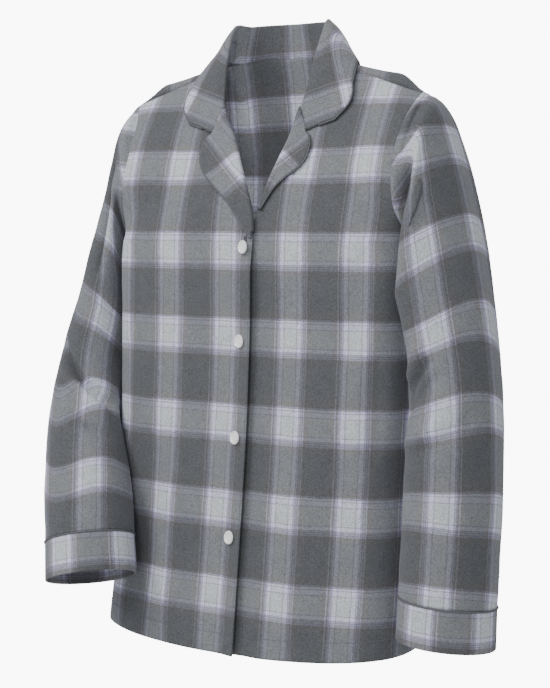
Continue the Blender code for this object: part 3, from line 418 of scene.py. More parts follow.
def armhole(around):
    """Points of the armhole seam; it closes on itself at 360 degrees."""
    rows = np.array(ARMHOLE, float)
    turn = np.array((360.0, 0, 0, 0))
    rows = np.vstack((rows[-2:] - turn, rows, rows[:3] + turn))
    return spline(rows[:, 0], rows[:, 1:], around)


def side_line(station, back):
    """Side seam up to station 1, then the armhole up to the shoulder at station 2."""
    station = np.asarray(station, float)
    low = np.array(SIDE_SEAM, float)
    seam = spline(low[:, 0], low[:, 1:], station)
    around = np.clip(station - 1, 0, 1) * 180
    arm = armhole(360 - around if back else around)
    return np.where((station > 1)[..., None], arm, seam)


def body_point(u, station, back):
    """Point of the outer cloth on a half of the body, u away from the centre plane."""
    table = BACK_SECTIONS if back else FRONT_SECTIONS
    u = np.asarray(u, float)
    side = side_line(station, back)
    centre_z, depth, power, turn = (column(table, BODY_COLUMNS, name, station) for name in BODY_COLUMNS[1:])
    part = np.clip(np.abs(u) / side[..., 0], 0, 1)
    y = side[..., 1] + (depth - side[..., 1]) * (1 - part ** power) ** turn
    z = centre_z + (side[..., 2] - centre_z) * part ** 2
    return np.stack((u + 0 * z, y, z), axis=-1)


def shoulder_seam(part):
    """Straight line from the neck to the shoulder point."""
    part = np.asarray(part, float)[..., None]
    return np.array(SHOULDER_NECK) * (1 - part) + np.array(SHOULDER_POINT) * part


def row_places(u_from, station, back, parts):
    """Places u along one row, at shares of its length on the cloth."""
    side_u = side_line(station, back)[0]
    fine = u_from + (side_u - u_from) * (1 - (1 - np.linspace(0, 1, 240)) ** 2)
    length = run_length(body_point(fine, np.full_like(fine, station), back))
    return np.interp(parts * length[-1], length, fine)


def roll_radius(z, break_z):
    """The fold's inside radius dies away towards the break."""
    grown = smoothstep(break_z, break_z + ROLL_GROWS, z)
    return ROLL_RADIUS * (ROLL_AT_BREAK + (1 - ROLL_AT_BREAK) * grown)


def roll_setback(z, break_z):
    """How far a front's own edge stands back under the fold that it carries."""
    low, high = SETBACK_BELOW
    begun = smoothstep(break_z - low, break_z - high, z)
    return roll_radius(z, break_z) * (begun * (1 - smoothstep(GORGE_Z, GORGE_Z + SETBACK_ABOVE, z)))


def left_tuck(u, z):
    """The left front lies behind the right one where they lap."""
    return UNDER_TUCK * (1 - smoothstep(*LAP_REACH, u)) * (1 - smoothstep(*LAP_TOP, z))


def front_point(u, station, side):
    """Point of a front's outer cloth, at a place u from the centre plane."""
    point = body_point(u, station, back=False)
    if side == "left":
        point[..., 1] += left_tuck(u, point[..., 2])
    return point


def seam_puff(distance):
    """Height that the cloth gains away from a seam, up to its full swell and down again."""
    return SEAM_PUFF * (1 - np.exp(-(distance / PUFF_NEAR) ** 2)) * np.exp(-(distance / PUFF_FAR) ** 2)


def drift(points, size, seed):
    """Slow unevenness of cloth, from about -1 to 1."""
    flat = points.reshape(-1, 3)
    values = [noise.noise(Vector(point) / size + Vector((seed, 0.0, 0.0))) for point in flat]
    return np.array(values).reshape(points.shape[:-1])


def unevenness(points, kinds, seeds):
    """Slow and fine unevenness of cloth, in metres."""
    return sum(height * drift(points, size, seed) for (height, size), seed in zip(kinds, seeds))


def face_normals(grid):
    """Unit normals of an open grid, by the order of its rows and columns."""
    return unit(np.cross(np.gradient(grid, axis=0), np.gradient(grid, axis=1)))


def grid_normals(grid, inside):
    """Unit normals of an open grid, turned away from an upright line."""
    normal = face_normals(grid)
    away = np.sum((normal * grid)[..., :2] - normal[..., :2] * inside, axis=-1)
    return normal * (1.0 if np.median(away) >= 0 else -1.0)


def dress(mesh, name, look):
    """Finished mesh as a piece of its own, smooth, in its look, riding with the top."""
    mesh.name = name
    mesh.materials.clear()
    mesh.materials.append(look)
    mesh.shade_smooth()
    piece = placed(name, mesh)
    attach(piece, "root")
    return piece


def cut_cloth(name, grid, cut, outward, thick, ring=False):
    """Sheet of flannel on a grid of places, with its cut in metres as the plaid's UV map."""
    rows, columns = grid.shape[:2]
    build = bmesh.new()
    layer = build.loops.layers.uv.new("plaid")
    bmesh.ops.create_grid(build, x_segments=columns - 1, y_segments=rows - 1, size=1.0)
    places = grid.reshape(-1, 3)
    cuts = cut.reshape(-1, 2)
    build.verts.index_update()
    for vert in build.verts:
        vert.co = places[vert.index]
    for face in build.faces:
        for loop in face.loops:
            loop[layer].uv = cuts[loop.vert.index]
    facing = np.cross(np.gradient(grid, axis=1), np.gradient(grid, axis=0))
    if np.median(np.sum(facing * outward, axis=-1)) < 0:
        bmesh.ops.reverse_faces(build, faces=build.faces)
    if ring:
        bmesh.ops.remove_doubles(build, verts=build.verts, dist=1e-5)
    piece = dress(as_mesh(build, name), name, flannel)
    if thick:
        layers = piece.modifiers.new("thickness", "SOLIDIFY")
        layers.thickness = thick
        layers.offset = -1.0
    return piece


def fall_down(grid):
    """How far down the cloth a place is: its height, and the cloth's own length near the shoulder."""
    step = np.diff(grid, axis=0)
    straight = step[..., 2]
    along = np.hypot(step[..., 1], step[..., 2])
    up = np.where((STATIONS_UP[1:] > SLOPE_FROM)[:, None], along, straight)
    return -running(up, 0) - grid[0, :, 2]


def across_cloth(grid, start):
    """Distance around the body along each row, from a start for its first column."""
    step = np.hypot(np.diff(grid[..., 0], axis=1), np.diff(grid[..., 1], axis=1))
    return start[:, None] + running(step, 1)


def front_grid(side):
    """Rows from hem to shoulder, columns from the front edge to the side seam."""
    rows = []
    for station in STATIONS_UP:
        z = float(column(FRONT_SECTIONS, BODY_COLUMNS, "centre_z", station))
        edge = float(column(FRONT_EDGE, EDGE_COLUMNS, side, z)) + float(roll_setback(z, BREAK_Z[side]))
        u = row_places(edge, station, False, FRONT_SHARES)
        rows.append(front_point(u, np.full_like(u, station), side))
    grid = np.array(rows)
    top = shoulder_seam(FRONT_SHARES)
    pull = smoothstep(FRONT_PULL_FROM, 2.0, STATIONS_UP)[:, None, None]
    grid = grid + pull * (top - grid[-1])
    fade = (smoothstep(0, FOLDS_NEAR_CLOSING, grid[..., 0] - CLOSING_U)
            * smoothstep(0, FOLDS_NEAR_SIDE, SIDE_REACH - grid[..., 0])
            * smoothstep(2.0, FRONT_FOLDS_TO, STATIONS_UP)[:, None])
    grid[..., 1] += fade * creases(FRONT_FOLDS, grid[..., 0], grid[..., 2])
    if side == "right":
        curl = np.exp(-((grid[..., 0] - CLOSING_U) / EDGE_CURL_WIDTH) ** 2)
        below = smoothstep(*(BREAK_Z[side] - np.array(EDGE_CURL_BELOW)), grid[..., 2])
        grid[..., 1] -= EDGE_CURL * curl * below
    return grid


def back_grid():
    """Rows from hem to neck and shoulders, columns from the right side seam to the left."""
    rows = []
    for station in STATIONS_UP:
        u = row_places(0.0, station, True, BACK_SHARES)
        points = body_point(u, np.full_like(u, station), True)
        rows.append(np.vstack((points[:0:-1] * (-1, 1, 1), points)))
    grid = np.array(rows)
    u = np.abs(grid[-1, :, 0])
    neck = np.array(BACK_NECK, float)
    neck_y = np.interp(u, neck[:, 0], neck[:, 1])
    neck_z = np.interp(u, neck[:, 0], neck[:, 2])
    seam = shoulder_seam((u - SHOULDER_NECK[0]) / (SHOULDER_POINT[0] - SHOULDER_NECK[0]))
    on_seam = u > SHOULDER_NECK[0]
    top = np.stack((grid[-1, :, 0], np.where(on_seam, seam[:, 1], neck_y),
                    np.where(on_seam, seam[:, 2], neck_z)), axis=-1)
    pull = smoothstep(BACK_PULL_FROM, 2.0, STATIONS_UP)[:, None, None]
    grid = grid + pull * (top - grid[-1])
    rise = np.clip((2 - STATIONS_UP) / RIDGE_DEPTH, 0, 1) ** RIDGE_LEAN
    away = np.abs(grid[..., 0])
    start, full, last = RIDGE_REACH
    across = smoothstep(start, full, away) * smoothstep(SIDE_REACH, last, away)
    grid[..., 2] += SHOULDER_RIDGE * np.sin(math.pi * rise)[:, None] * across
    fade = smoothstep(0, FOLDS_NEAR_SIDE, SIDE_REACH - away)
    fade = fade * smoothstep(2.0, BACK_FOLDS_TO, STATIONS_UP)[:, None]
    grid[..., 1] -= fade * creases(BACK_FOLDS, grid[..., 0], grid[..., 2])
    return grid


def swell(grid, normals, to_sides, to_shoulder, seeds):
    """Seams hold the cloth down, and between them it is never quite even."""
    rise = np.minimum(seam_puff(to_sides), seam_puff(to_shoulder) + SEAM_PUFF * PUFF_KEPT)
    calm = smoothstep(0, CALM_NEAR, to_sides) * smoothstep(0, CALM_NEAR, to_shoulder)
    return grid + normals * (rise + calm * unevenness(grid, BODY_UNEVEN, seeds))[..., None]


def to_edge(grid, axis, last=True):
    """Distance on the cloth to a grid's last or first row or column."""
    length = running(np.linalg.norm(np.diff(grid, axis=axis), axis=-1), axis)
    return np.take(length, (-1,), axis=axis) - length if last else length


FRONT_WARP_FROM = {"left": 0.0480, "right": -0.0355}  # where a light stripe starts, from the centre
BACK_WARP_FROM = -0.0185
FRONT_WEFT_FROM = 0.0920  # and one of the weft, down from the high shoulder
BACK_WEFT_FROM = 0.0275
FRONT_SEEDS = {"left": (3.0, 10.0), "right": (11.0, 18.0)}  # of the slow and the fine unevenness
BACK_SEEDS = (23.0, 30.0)
skins = {}  # each panel's places and normals, for the stitches

for side, flip in SIDES:
    grid = front_grid(side)
    normals = grid_normals(grid, FRONT_INSIDE)
    cut = np.stack((across_cloth(grid, grid[:, 0, 0]) * flip[0] - FRONT_WARP_FROM[side],
                    fall_down(grid) - FRONT_WEFT_FROM), axis=-1)
    grid = swell(grid, normals, to_edge(grid, 1), to_edge(grid, 0), FRONT_SEEDS[side])
    skins[side] = (grid, normals)
    piece = cut_cloth("flannel_front_" + side, grid * flip, cut, normals * flip, SHEET)
    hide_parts("front_" + side)

grid = back_grid()
normals = grid_normals(grid, BACK_INSIDE)
half = grid.shape[1] // 2
half_across = across_cloth(grid[:, half:], np.zeros(len(grid)))
across = np.concatenate((-half_across[:, :0:-1], half_across), axis=1)
cut = np.stack((across - BACK_WARP_FROM, fall_down(grid) - BACK_WEFT_FROM), axis=-1)
to_sides = np.minimum(to_edge(grid, 1), to_edge(grid, 1, last=False))
grid = swell(grid, normals, to_sides, to_edge(grid, 0), BACK_SEEDS)
skins["back"] = (grid, normals)
piece = cut_cloth("flannel_back", grid, cut, normals, SHEET)
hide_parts("back")

# ---- Sleeves ----------------------------------------------------------------
# Each sleeve is one cut of flannel, sewn to a tube under the arm and set into the
# armhole. The wearer's right arm bends forward, so its cloth gathers at the elbow.
SLEEVE_COLUMNS = ("along", "inner_u", "inner_z", "outer_u", "outer_z", "middle_y", "lean",
                  "half_depth", "front_in", "front_up")
SLEEVE_SECTIONS = {
    "left": (
        (0.08, 0.1880, -0.2040, 0.1985, -0.0480, 0.0100, 0.0000, 0.0580, 0.004, 0.000),
        (0.17, 0.1900, -0.2130, 0.2140, -0.0820, 0.0090, 0.0030, 0.0640, 0.012, 0.000),
        (0.27, 0.1905, -0.2280, 0.2310, -0.1350, 0.0050, 0.0050, 0.0680, 0.026, 0.000),
        (0.37, 0.1910, -0.2520, 0.2485, -0.1960, -0.0040, 0.0070, 0.0670, 0.033, 0.000),
        (0.48, 0.1910, -0.2900, 0.2660, -0.2600, -0.0170, 0.0080, 0.0600, 0.020, 0.000),
        (0.60, 0.1915, -0.3450, 0.2800, -0.3300, -0.0270, 0.0090, 0.0530, 0.002, 0.000),
        (0.70, 0.1920, -0.3970, 0.2860, -0.3880, -0.0330, 0.0090, 0.0510, 0.000, 0.001),
        (0.80, 0.1915, -0.4530, 0.2890, -0.4500, -0.0390, 0.0090, 0.0510, 0.002, 0.002),
        (0.90, 0.1910, -0.5110, 0.2895, -0.5140, -0.0445, 0.0080, 0.0510, 0.002, 0.003),
        (1.00, 0.1895, -0.5700, 0.2885, -0.5790, -0.0490, 0.0060, 0.0510, 0.001, 0.004),
    ),
    "right": (  # this arm bends forward at the elbow
        (0.08, 0.1880, -0.2040, 0.1955, -0.0480, 0.0100, 0.0000, 0.0560, 0.004, 0.000),
        (0.17, 0.1900, -0.2130, 0.2060, -0.0820, 0.0090, 0.0020, 0.0600, 0.006, 0.000),
        (0.27, 0.1900, -0.2280, 0.2200, -0.1350, 0.0050, 0.0030, 0.0610, 0.008, 0.000),
        (0.37, 0.1895, -0.2500, 0.2370, -0.1960, -0.0030, 0.0040, 0.0590, 0.008, 0.000),
        (0.48, 0.1885, -0.2850, 0.2530, -0.2580, -0.0130, 0.0040, 0.0565, 0.006, 0.000),
        (0.60, 0.1880, -0.3350, 0.2640, -0.3200, -0.0300, 0.0030, 0.0530, 0.003, 0.003),
        (0.70, 0.1760, -0.3830, 0.2580, -0.3750, -0.0580, 0.0000, 0.0490, 0.000, 0.008),
        (0.80, 0.1550, -0.4270, 0.2480, -0.4320, -0.0860, -0.0030, 0.0470, 0.000, 0.011),
        (0.90, 0.1350, -0.4720, 0.2320, -0.4870, -0.1110, -0.0050, 0.0460, 0.000, 0.013),
        (1.00, 0.1180, -0.5220, 0.2165, -0.5470, -0.1310, -0.0050, 0.0460, 0.000, 0.013),
    ),
}
ARM_CLEAR = 0.0065  # a sleeve lies this far off the front that it rests against
ARM_CLEAR_FROM = 0.08  # from this share of its length on
SLEEVE_FOLDS = {  # from degrees around and metres down, to the same, width, depth
    "right": (
        (128, 0.275, 60, 0.335, 0.013, -0.0022),
        (110, 0.295, 30, 0.345, 0.009, 0.0026),
        (300, 0.250, 215, 0.300, 0.012, 0.0030),
        (105, 0.020, 80, 0.130, 0.012, 0.0060),
        (132, 0.030, 112, 0.170, 0.014, -0.0015),
        (250, 0.020, 275, 0.130, 0.013, 0.0040),
        (134, 0.224, 8, 0.303, 0.0062, 0.0160),
        (118, 0.247, 20, 0.312, 0.0085, -0.0032),
        (60, 0.330, 8, 0.350, 0.0055, 0.0040),
    ),
    "left": (
        (20, 0.275, 100, 0.235, 0.010, 0.0065),
        (25, 0.310, 100, 0.290, 0.012, -0.0040),
        (140, 0.280, 60, 0.320, 0.011, 0.0030),
        (86, 0.008, 76, 0.130, 0.0150, 0.0135),
        (114, 0.030, 97, 0.138, 0.010, -0.0035),
        (300, 0.240, 220, 0.290, 0.012, 0.0045),
        (250, 0.020, 275, 0.130, 0.013, 0.0040),
        (96, 0.217, 28, 0.256, 0.0058, 0.0065),
        (88, 0.200, 35, 0.238, 0.0080, -0.0030),
    ),
}
FOLD_ARM_RADIUS = 0.052  # turns degrees around an arm into metres
FOLDS_NEAR_ENDS = (0.03, 0.06)  # folds die away this near the armhole and the cuff
FOLDS_NEAR_SEAM = 40  # and within these degrees of the seam
SLEEVE_RINGS = 190
RING_CROWDING = 1.15  # rings stand closer towards the armhole
AROUND = np.arange(2 * ROWS_AT_ARM) * 180.0 / ROWS_AT_ARM  # degrees, from under the arm by the front


def closed_ring(grid):
    """The grid with its first column again at its end."""
    return np.concatenate((grid, grid[:, :1]), axis=1)


def ring_normals(grid):
    """Unit normals of a tube of rings, pointing out."""
    wrapped = np.concatenate((grid[:, -1:], grid, grid[:, :1]), axis=1)
    across = (wrapped[:, 2:] - wrapped[:, :-2]) / 2
    normal = unit(np.cross(np.gradient(grid, axis=0), across))
    away = np.sum(normal * (grid - grid.mean(axis=1, keepdims=True)), axis=-1)
    return normal * (1.0 if np.median(away) >= 0 else -1.0)


def inside_front(points):
    """How far points beside the body would have to come forward to lie clear of its front."""
    seam = np.array(SIDE_SEAM, float)
    station = np.interp(points[..., 2], seam[:, 3], seam[:, 0])
    side_u = side_line(station, False)[..., 0]
    surface = body_point(np.minimum(points[..., 0], side_u), station, False)[..., 1]
    deep = np.clip(points[..., 1] - surface + ARM_CLEAR, 0, None)
    return deep * smoothstep(side_u + ARM_CLEAR, side_u + ARM_CLEAR / 2, points[..., 0])


def sleeve_grid(side):
    """Rings from the armhole to the cuff seam, with their folds and without them."""
    turn = np.radians(AROUND)
    front = np.sin(turn)
    rings = [armhole(AROUND)]
    along = [0.0]
    for row in SLEEVE_SECTIONS[side]:
        at = dict(zip(SLEEVE_COLUMNS, row))
        inner = np.array((at["inner_u"], -at["lean"], at["inner_z"]))
        outer = np.array((at["outer_u"], at["lean"], at["outer_z"]))
        middle = (inner + outer) / 2 + (0, at["middle_y"], 0)
        ring = middle - np.cos(turn)[:, None] * (outer - inner) / 2
        ring[:, 0] -= at["front_in"] * np.clip(front, 0, 1) ** 2
        ring[:, 1] -= at["half_depth"] * front
        ring[:, 2] += at["front_up"] * front
        rings.append(ring)
        along.append(at["along"])
    places = np.linspace(0, 1, SLEEVE_RINGS + 1) ** RING_CROWDING
    plain = spline(along, np.array(rings), places)
    down = run_length(plain.mean(axis=1))
    metres = [(math.radians(a) * FOLD_ARM_RADIUS, b, math.radians(c) * FOLD_ARM_RADIUS, d, width, depth)
              for a, b, c, d, width, depth in SLEEVE_FOLDS[side]]
    depth = creases(metres, turn[None, :] * FOLD_ARM_RADIUS, down[:, None])
    near_top, near_cuff = FOLDS_NEAR_ENDS
    depth *= smoothstep(0, near_top, down)[:, None] * smoothstep(0, near_cuff, down[-1] - down)[:, None]
    depth *= smoothstep(0, FOLDS_NEAR_SEAM, np.minimum(AROUND, 360 - AROUND))[None, :]
    grid = plain - ring_normals(plain) * depth[..., None]
    grid[..., 1] -= inside_front(grid) * smoothstep(0, ARM_CLEAR_FROM, places)[:, None]
    return grid, plain


# where the weft lies: metres down the sleeve, then its level and how that changes around the arm
SLEEVE_WEFT = {
    "right": (
        (0.000, -0.0673, -0.0176, 0.0084, -0.0049, 0.0340),
        (0.080, 0.0096, -0.0202, 0.0027, -0.0013, 0.0293),
        (0.160, 0.0891, -0.0286, 0.0017, -0.0010, 0.0153),
        (0.240, 0.1659, -0.0283, -0.0038, 0.0012, 0.0158),
        (0.320, 0.2358, -0.0236, -0.0205, 0.0083, 0.0232),
        (0.401, 0.3123, -0.0264, -0.0247, 0.0038, 0.0181),
        (0.481, 0.3915, -0.0273, -0.0262, 0.0031, 0.0156),
    ),
    "left": (
        (0.000, -0.0188, 0.0401, 0.0231, -0.0153, 0.0118),
        (0.081, 0.0650, 0.0226, 0.0149, 0.0073, 0.0018),
        (0.163, 0.1533, 0.0045, 0.0131, 0.0155, -0.0035),
        (0.244, 0.2393, -0.0014, 0.0194, 0.0052, -0.0050),
        (0.326, 0.3229, -0.0069, 0.0179, 0.0050, 0.0009),
        (0.407, 0.4024, -0.0030, 0.0157, 0.0026, 0.0030),
        (0.489, 0.4826, -0.0040, 0.0140, 0.0028, 0.0005),
    ),
}
SLEEVE_WARP_FROM = {"left": 0.0170, "right": -0.0140}
SLEEVE_UNEVEN = ((0.0009, 0.060), (0.0003, 0.020))
SLEEVE_SEEDS = {"left": (31.0, 36.0), "right": (43.0, 48.0)}
SLEEVE_CALM = 0.02  # the unevenness dies away this near the cuff
sleeve_ends = {}  # each sleeve's rings and normals, for its cuff

for side, flip in SIDES:
    grid, plain = sleeve_grid(side)
    normals = ring_normals(grid)
    from_top = to_edge(grid, 0, last=False)
    calm = smoothstep(0, CALM_NEAR, from_top) * smoothstep(0, SLEEVE_CALM, to_edge(grid, 0))
    rise = seam_puff(from_top) + calm * unevenness(grid, SLEEVE_UNEVEN, SLEEVE_SEEDS[side])
    sleeve_ends[side] = (grid, normals)
    girth = to_edge(closed_ring(plain), 1, last=False)
    girth = girth - girth[:, ROWS_AT_ARM:ROWS_AT_ARM + 1]
    down = run_length(grid.mean(axis=1))
    turn = np.radians(np.append(AROUND, 360.0))
    ways = np.stack((np.ones_like(turn), np.cos(turn), np.sin(turn), np.cos(2 * turn), np.sin(2 * turn)))
    weft = np.array(SLEEVE_WEFT[side])
    length = spline(weft[:, 0], weft[:, 1:], down) @ ways
    cut = np.stack((SLEEVE_WARP_FROM[side] - girth, length), axis=-1)
    closed = closed_ring(grid + normals * rise[..., None])
    outward = closed_ring(normals)
    piece = cut_cloth("flannel_sleeve_" + side, closed * flip, cut, outward * flip, SHEET, ring=True)
    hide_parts("sleeve_" + side)

# ---- Cuffs ------------------------------------------------------------------
# A separate band of flannel, turned double, stands on the end of each sleeve. A
# grey cord in a bias strip is caught in its seam and lies on the join.
CUFF_WALL = 0.0026
CUFF_HEIGHT = 0.0430
CUFF_SPREAD = 0.0008  # the band widens by this much towards the wrist
CUFF_PROUD = 0.0002
CUFF_TURN = 0.03  # share of its height that the turned edge adds
CUFF_STEPS = np.linspace(0.02, 1.0, 14)  # shares of its height down each face
CUFF_OUTER_ROWS = 16  # rows of its grid that tell which way it faces
PIPING_RADIUS = 0.0010
PIPING_SHOWS = 0.45  # share of its radius that the cord stands off the seam
CUFF_WARP_FROM = {"left": 0.0000, "right": 0.0200}
CUFF_WEFT_FROM = {"left": -0.0040, "right": -0.0030}


def two_tone(name, dark, light, scale, detail, finish):
    """Look that drifts between two tones, with the numbers of its shader."""
    look, tree, shader = new_look(name)
    where = wire(tree, "TexCoord", {}).outputs["Object"]
    shade = wire(tree, "ValToRGB", {0: mottle(tree, where, scale, detail, 0.0, 1.0)})
    shade.color_ramp.elements[0].color = dark
    shade.color_ramp.elements[1].color = light
    feed(tree, shader, {"Base Color": shade.outputs[0], **finish})
    return look, tree, shader, where


def make_piping():
    """Plain grey cotton strip drawn tightly over a cord, its threads on the slant."""
    look, tree, shader, where = two_tone("grey cotton piping", (0.105, 0.107, 0.118, 1.0),
                                         (0.175, 0.178, 0.194, 1.0), 700.0, 3.0,
                                         {"Roughness": 0.8, "Specular IOR Level": 0.3})
    threads = wire(tree, "TexWave", {"Scale": 420.0, "Distortion": 1.5, "Vector": where},
                   bands_direction="DIAGONAL")
    weave = wire(tree, "Bump", {"Strength": 0.4, "Distance": 0.0002, "Height": threads.outputs["Fac"]})
    feed(tree, shader, {"Normal": weave.outputs["Normal"]})
    return look


piping_look = make_piping()


def finished_mesh(thing):
    """Mesh of an object with its modifiers, or its bevel, made real."""
    bpy.context.view_layer.update()
    return bpy.data.meshes.new_from_object(thing.evaluated_get(bpy.context.evaluated_depsgraph_get()))


def lay_cord(name, *runs, closed=False, radius=PIPING_RADIUS, look=piping_look, slot="piping"):
    """Round cord or thread on one or more smooth lines of places, as a mesh."""
    line = bpy.data.curves.new(name, "CURVE")
    line.dimensions = "3D"
    line.bevel_depth = radius
    line.bevel_resolution = 3
    line.use_fill_caps = not closed
    for centres in runs:
        strand = line.splines.new("POLY")
        strand.points.add(len(centres) - 1)
        for point, centre in zip(strand.points, centres):
            point.co = (*centre, 1.0)
        strand.use_cyclic_u = closed
    drawn = placed(name + "_line", line)
    mesh = finished_mesh(drawn)
    bpy.data.objects.remove(drawn, do_unlink=True)
    bpy.data.curves.remove(line)
    build = bmesh.new()
    build.from_mesh(mesh)
    bmesh.ops.remove_doubles(build, verts=build.verts, dist=1e-6)
    bmesh.ops.recalc_face_normals(build, faces=build.faces)
    build.to_mesh(mesh)
    build.free()
    return dress(mesh, name, look)


for side, flip in SIDES:
    sleeve, sleeve_normal = sleeve_ends[side]
    seam = sleeve[-1]
    centre = seam.mean(axis=0)
    back_up = len(sleeve) - 1 - SLEEVE_RINGS // 9
    down = unit(centre - sleeve[back_up].mean(axis=0))
    spread = seam - centre
    spread = unit(spread - down * (spread @ down)[:, None])
    path = [(0.0, 0.0)]  # down the band and into its wall, out, round the turn, and back up
    path += [(share, 0.0) for share in CUFF_STEPS]
    path += [(1.0 + CUFF_TURN * math.sin(turn), 0.5 - 0.5 * math.cos(turn))
             for turn in np.linspace(0, math.pi, 7)[1:-1]]
    path += [(share, 1.0) for share in CUFF_STEPS[::-1]]
    path += [(0.0, 1.0), (0.0, 0.0)]
    rings = []
    for share, depth in path:
        outer = seam + down * CUFF_HEIGHT * share + spread * (CUFF_SPREAD * share + CUFF_PROUD)
        rings.append(outer - spread * CUFF_WALL * depth)
    grid = closed_ring(np.array(rings))
    girth = run_length(grid[0])
    girth = girth - girth[ROWS_AT_ARM]
    fall = np.array([CUFF_HEIGHT * share for share, depth in path])
    cut = np.stack(np.broadcast_arrays(CUFF_WARP_FROM[side] - girth[None, :],
                                       fall[:, None] - CUFF_WEFT_FROM[side]), axis=-1)
    outward = np.broadcast_to(np.concatenate((spread, spread[:1])), grid.shape).copy()
    outward[CUFF_OUTER_ROWS:] = 0
    piece = cut_cloth("flannel_cuff_" + side, grid * flip, cut, outward * flip, 0, ring=True)
    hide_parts("cuff_" + side)
    cord = seam + sleeve_normal[-1] * (PIPING_RADIUS * PIPING_SHOWS)
    piece = lay_cord("cord_cuff_" + side, cord * flip, closed=True)
    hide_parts("cuff_piping_" + side)

# ---- Lapels -----------------------------------------------------------------
# The top of each front turns back on its roll line and shows the facing, cut on
# the same grain as the front edge. Its edge is piped like the cuffs.
LAPEL_COLUMNS = ("along", "u", "z")
LAPEL_EDGE = {
    "right": (
        (0.00, 0.0590, -0.0755),
        (0.10, 0.0650, -0.0840),
        (0.24, 0.0680, -0.1010),
        (0.33, 0.0635, -0.1145),
        (0.50, 0.0445, -0.1330),
        (0.75, 0.0175, -0.1560),
        (1.00, -0.0143, -0.1935),
    ),
    "left": (
        (0.00, 0.0590, -0.0755),
        (0.12, 0.0655, -0.0830),
        (0.30, 0.0690, -0.0985),
        (0.42, 0.0650, -0.1125),
        (0.60, 0.0490, -0.1260),
        (0.80, 0.0345, -0.1400),
        (1.00, 0.0205, -0.1620),
    ),
}
NOTCH = (0.0590, -0.0755)  # u and z where the collar leaves the lapel
NECK_ROLL_U = 0.0490
LAPEL_LIFT = 0.0022  # the lapel's edge floats this far off the front
FOLD_WALL = 0.0018  # cloth and facing together
EDGE_CORD_OUT = 0.75  # share of its radius that an edge's cord lies outside it
LAPEL_ROWS = 11
LAPEL_SHARES = (0.22, 0.45, 0.70, 1.0)  # places of a row from its fold to its edge
LAPEL_SETTLES = (0.05, 0.75)  # between these shares its lift changes from the fold's to its own
LAPEL_CORD_FROM = 0.3  # its cord starts this share of two rows below the notch
LAPEL_INSIDE = 6  # columns in from the edge, from where the cord's side is told
LAPEL_FINE = (56, 34)  # rows and columns of the finished lapel


def front_normal(u, station, side):
    """Outward normal of a front."""
    step = 0.0015
    rise = 0.004
    here = front_point((u - step, u + step), (station, station), side)
    high = front_point((u, u), (station - rise, station + rise), side)
    normal = np.cross(here[1] - here[0], high[1] - high[0])
    return unit(normal * (1 if normal[1] < 0 else -1))


def station_at(u, z, low=0.8, high=2.0):
    """Station between two others where a front has the height z, at u from the centre."""
    fine = np.linspace(low, high, 400)
    heights = body_point(np.full_like(fine, u), fine, False)[:, 2]
    return float(np.interp(z, heights, fine))


def above_front(u, station, lift, side):
    """Place above a front's cloth."""
    return front_point(u, station, side) + front_normal(u, station, side) * lift


def on_front(u, z, lift):
    """Place above the right front's cloth, given by u and height."""
    return above_front(u, station_at(u, z), lift, "right")


def fold_path(seam, crest, up, out, radius, places):
    """Under face of a folded piece: seam, fold round the crest, then the places beyond."""
    centre = crest - up * (radius + FOLD_WALL)
    turns = np.radians((-90, -45, 0, 45, 90))
    arc = [centre + radius * (np.cos(turn) * up + np.sin(turn) * out) for turn in turns]
    return np.array(list(seam) + arc + list(places))


def lapel_row(roll_u, roll_z, edge_u, edge_z, side):
    """One row of a lapel, or the gorge seam that the collar shares."""
    roll_station = station_at(roll_u, roll_z)
    edge_station = station_at(edge_u, edge_z)
    radius = float(roll_radius(roll_z, BREAK_Z[side]))
    crest = front_point(roll_u, roll_station, side)
    edge = front_point(edge_u, edge_station, side)
    out = front_normal(roll_u, roll_station, side)
    up = unit(crest - edge)
    up = unit(up - out * np.dot(up, out))
    seam_share = (radius + FOLD_WALL) / np.linalg.norm(crest - edge)
    places = []
    for share in LAPEL_SHARES:
        share = seam_share + (1 - seam_share) * share
        u = roll_u + (edge_u - roll_u) * share
        station = roll_station + (edge_station - roll_station) * share
        lift = 2 * radius + (LAPEL_LIFT - 2 * radius) * smoothstep(*LAPEL_SETTLES, share)
        places.append(above_front(u, station, lift, side))
    return fold_path((), crest + out * radius, up, out, radius, places)


def lapel_grid(side):
    """Rows from the gorge seam down to the break, columns across the fold to the edge."""
    rows = []
    for along in np.linspace(0, 1, LAPEL_ROWS):
        roll_z = GORGE_Z + (BREAK_Z[side] - GORGE_Z) * along
        roll_u = float(column(FRONT_EDGE, EDGE_COLUMNS, side, roll_z))
        edge_u = float(column(LAPEL_EDGE[side], LAPEL_COLUMNS, "u", along))
        edge_z = float(column(LAPEL_EDGE[side], LAPEL_COLUMNS, "z", along))
        rows.append(lapel_row(roll_u, roll_z, edge_u, edge_z, side))
    return np.array(rows)


def refine(grid, row_count, column_count):
    """The same surface with more rows and columns, on smooth curves through its places."""
    at = np.linspace(0, grid.shape[1] - 1, column_count)
    finer = []
    for row in grid:
        chord = run_length(row)
        finer.append(spline(chord, row, np.interp(at, np.arange(len(row)), chord)))
    return spline(np.arange(len(grid)), np.array(finer), np.linspace(0, len(grid) - 1, row_count))


def rim_line(edge, outside, lift):
    """Centres of a cord sewn along an edge, outside it and level with the middle of its wall."""
    run = unit(np.gradient(edge, axis=0))
    away = unit(outside - run * np.sum(outside * run, axis=-1, keepdims=True))
    return edge + away * (PIPING_RADIUS * EDGE_CORD_OUT) + lift * (FOLD_WALL / 2)


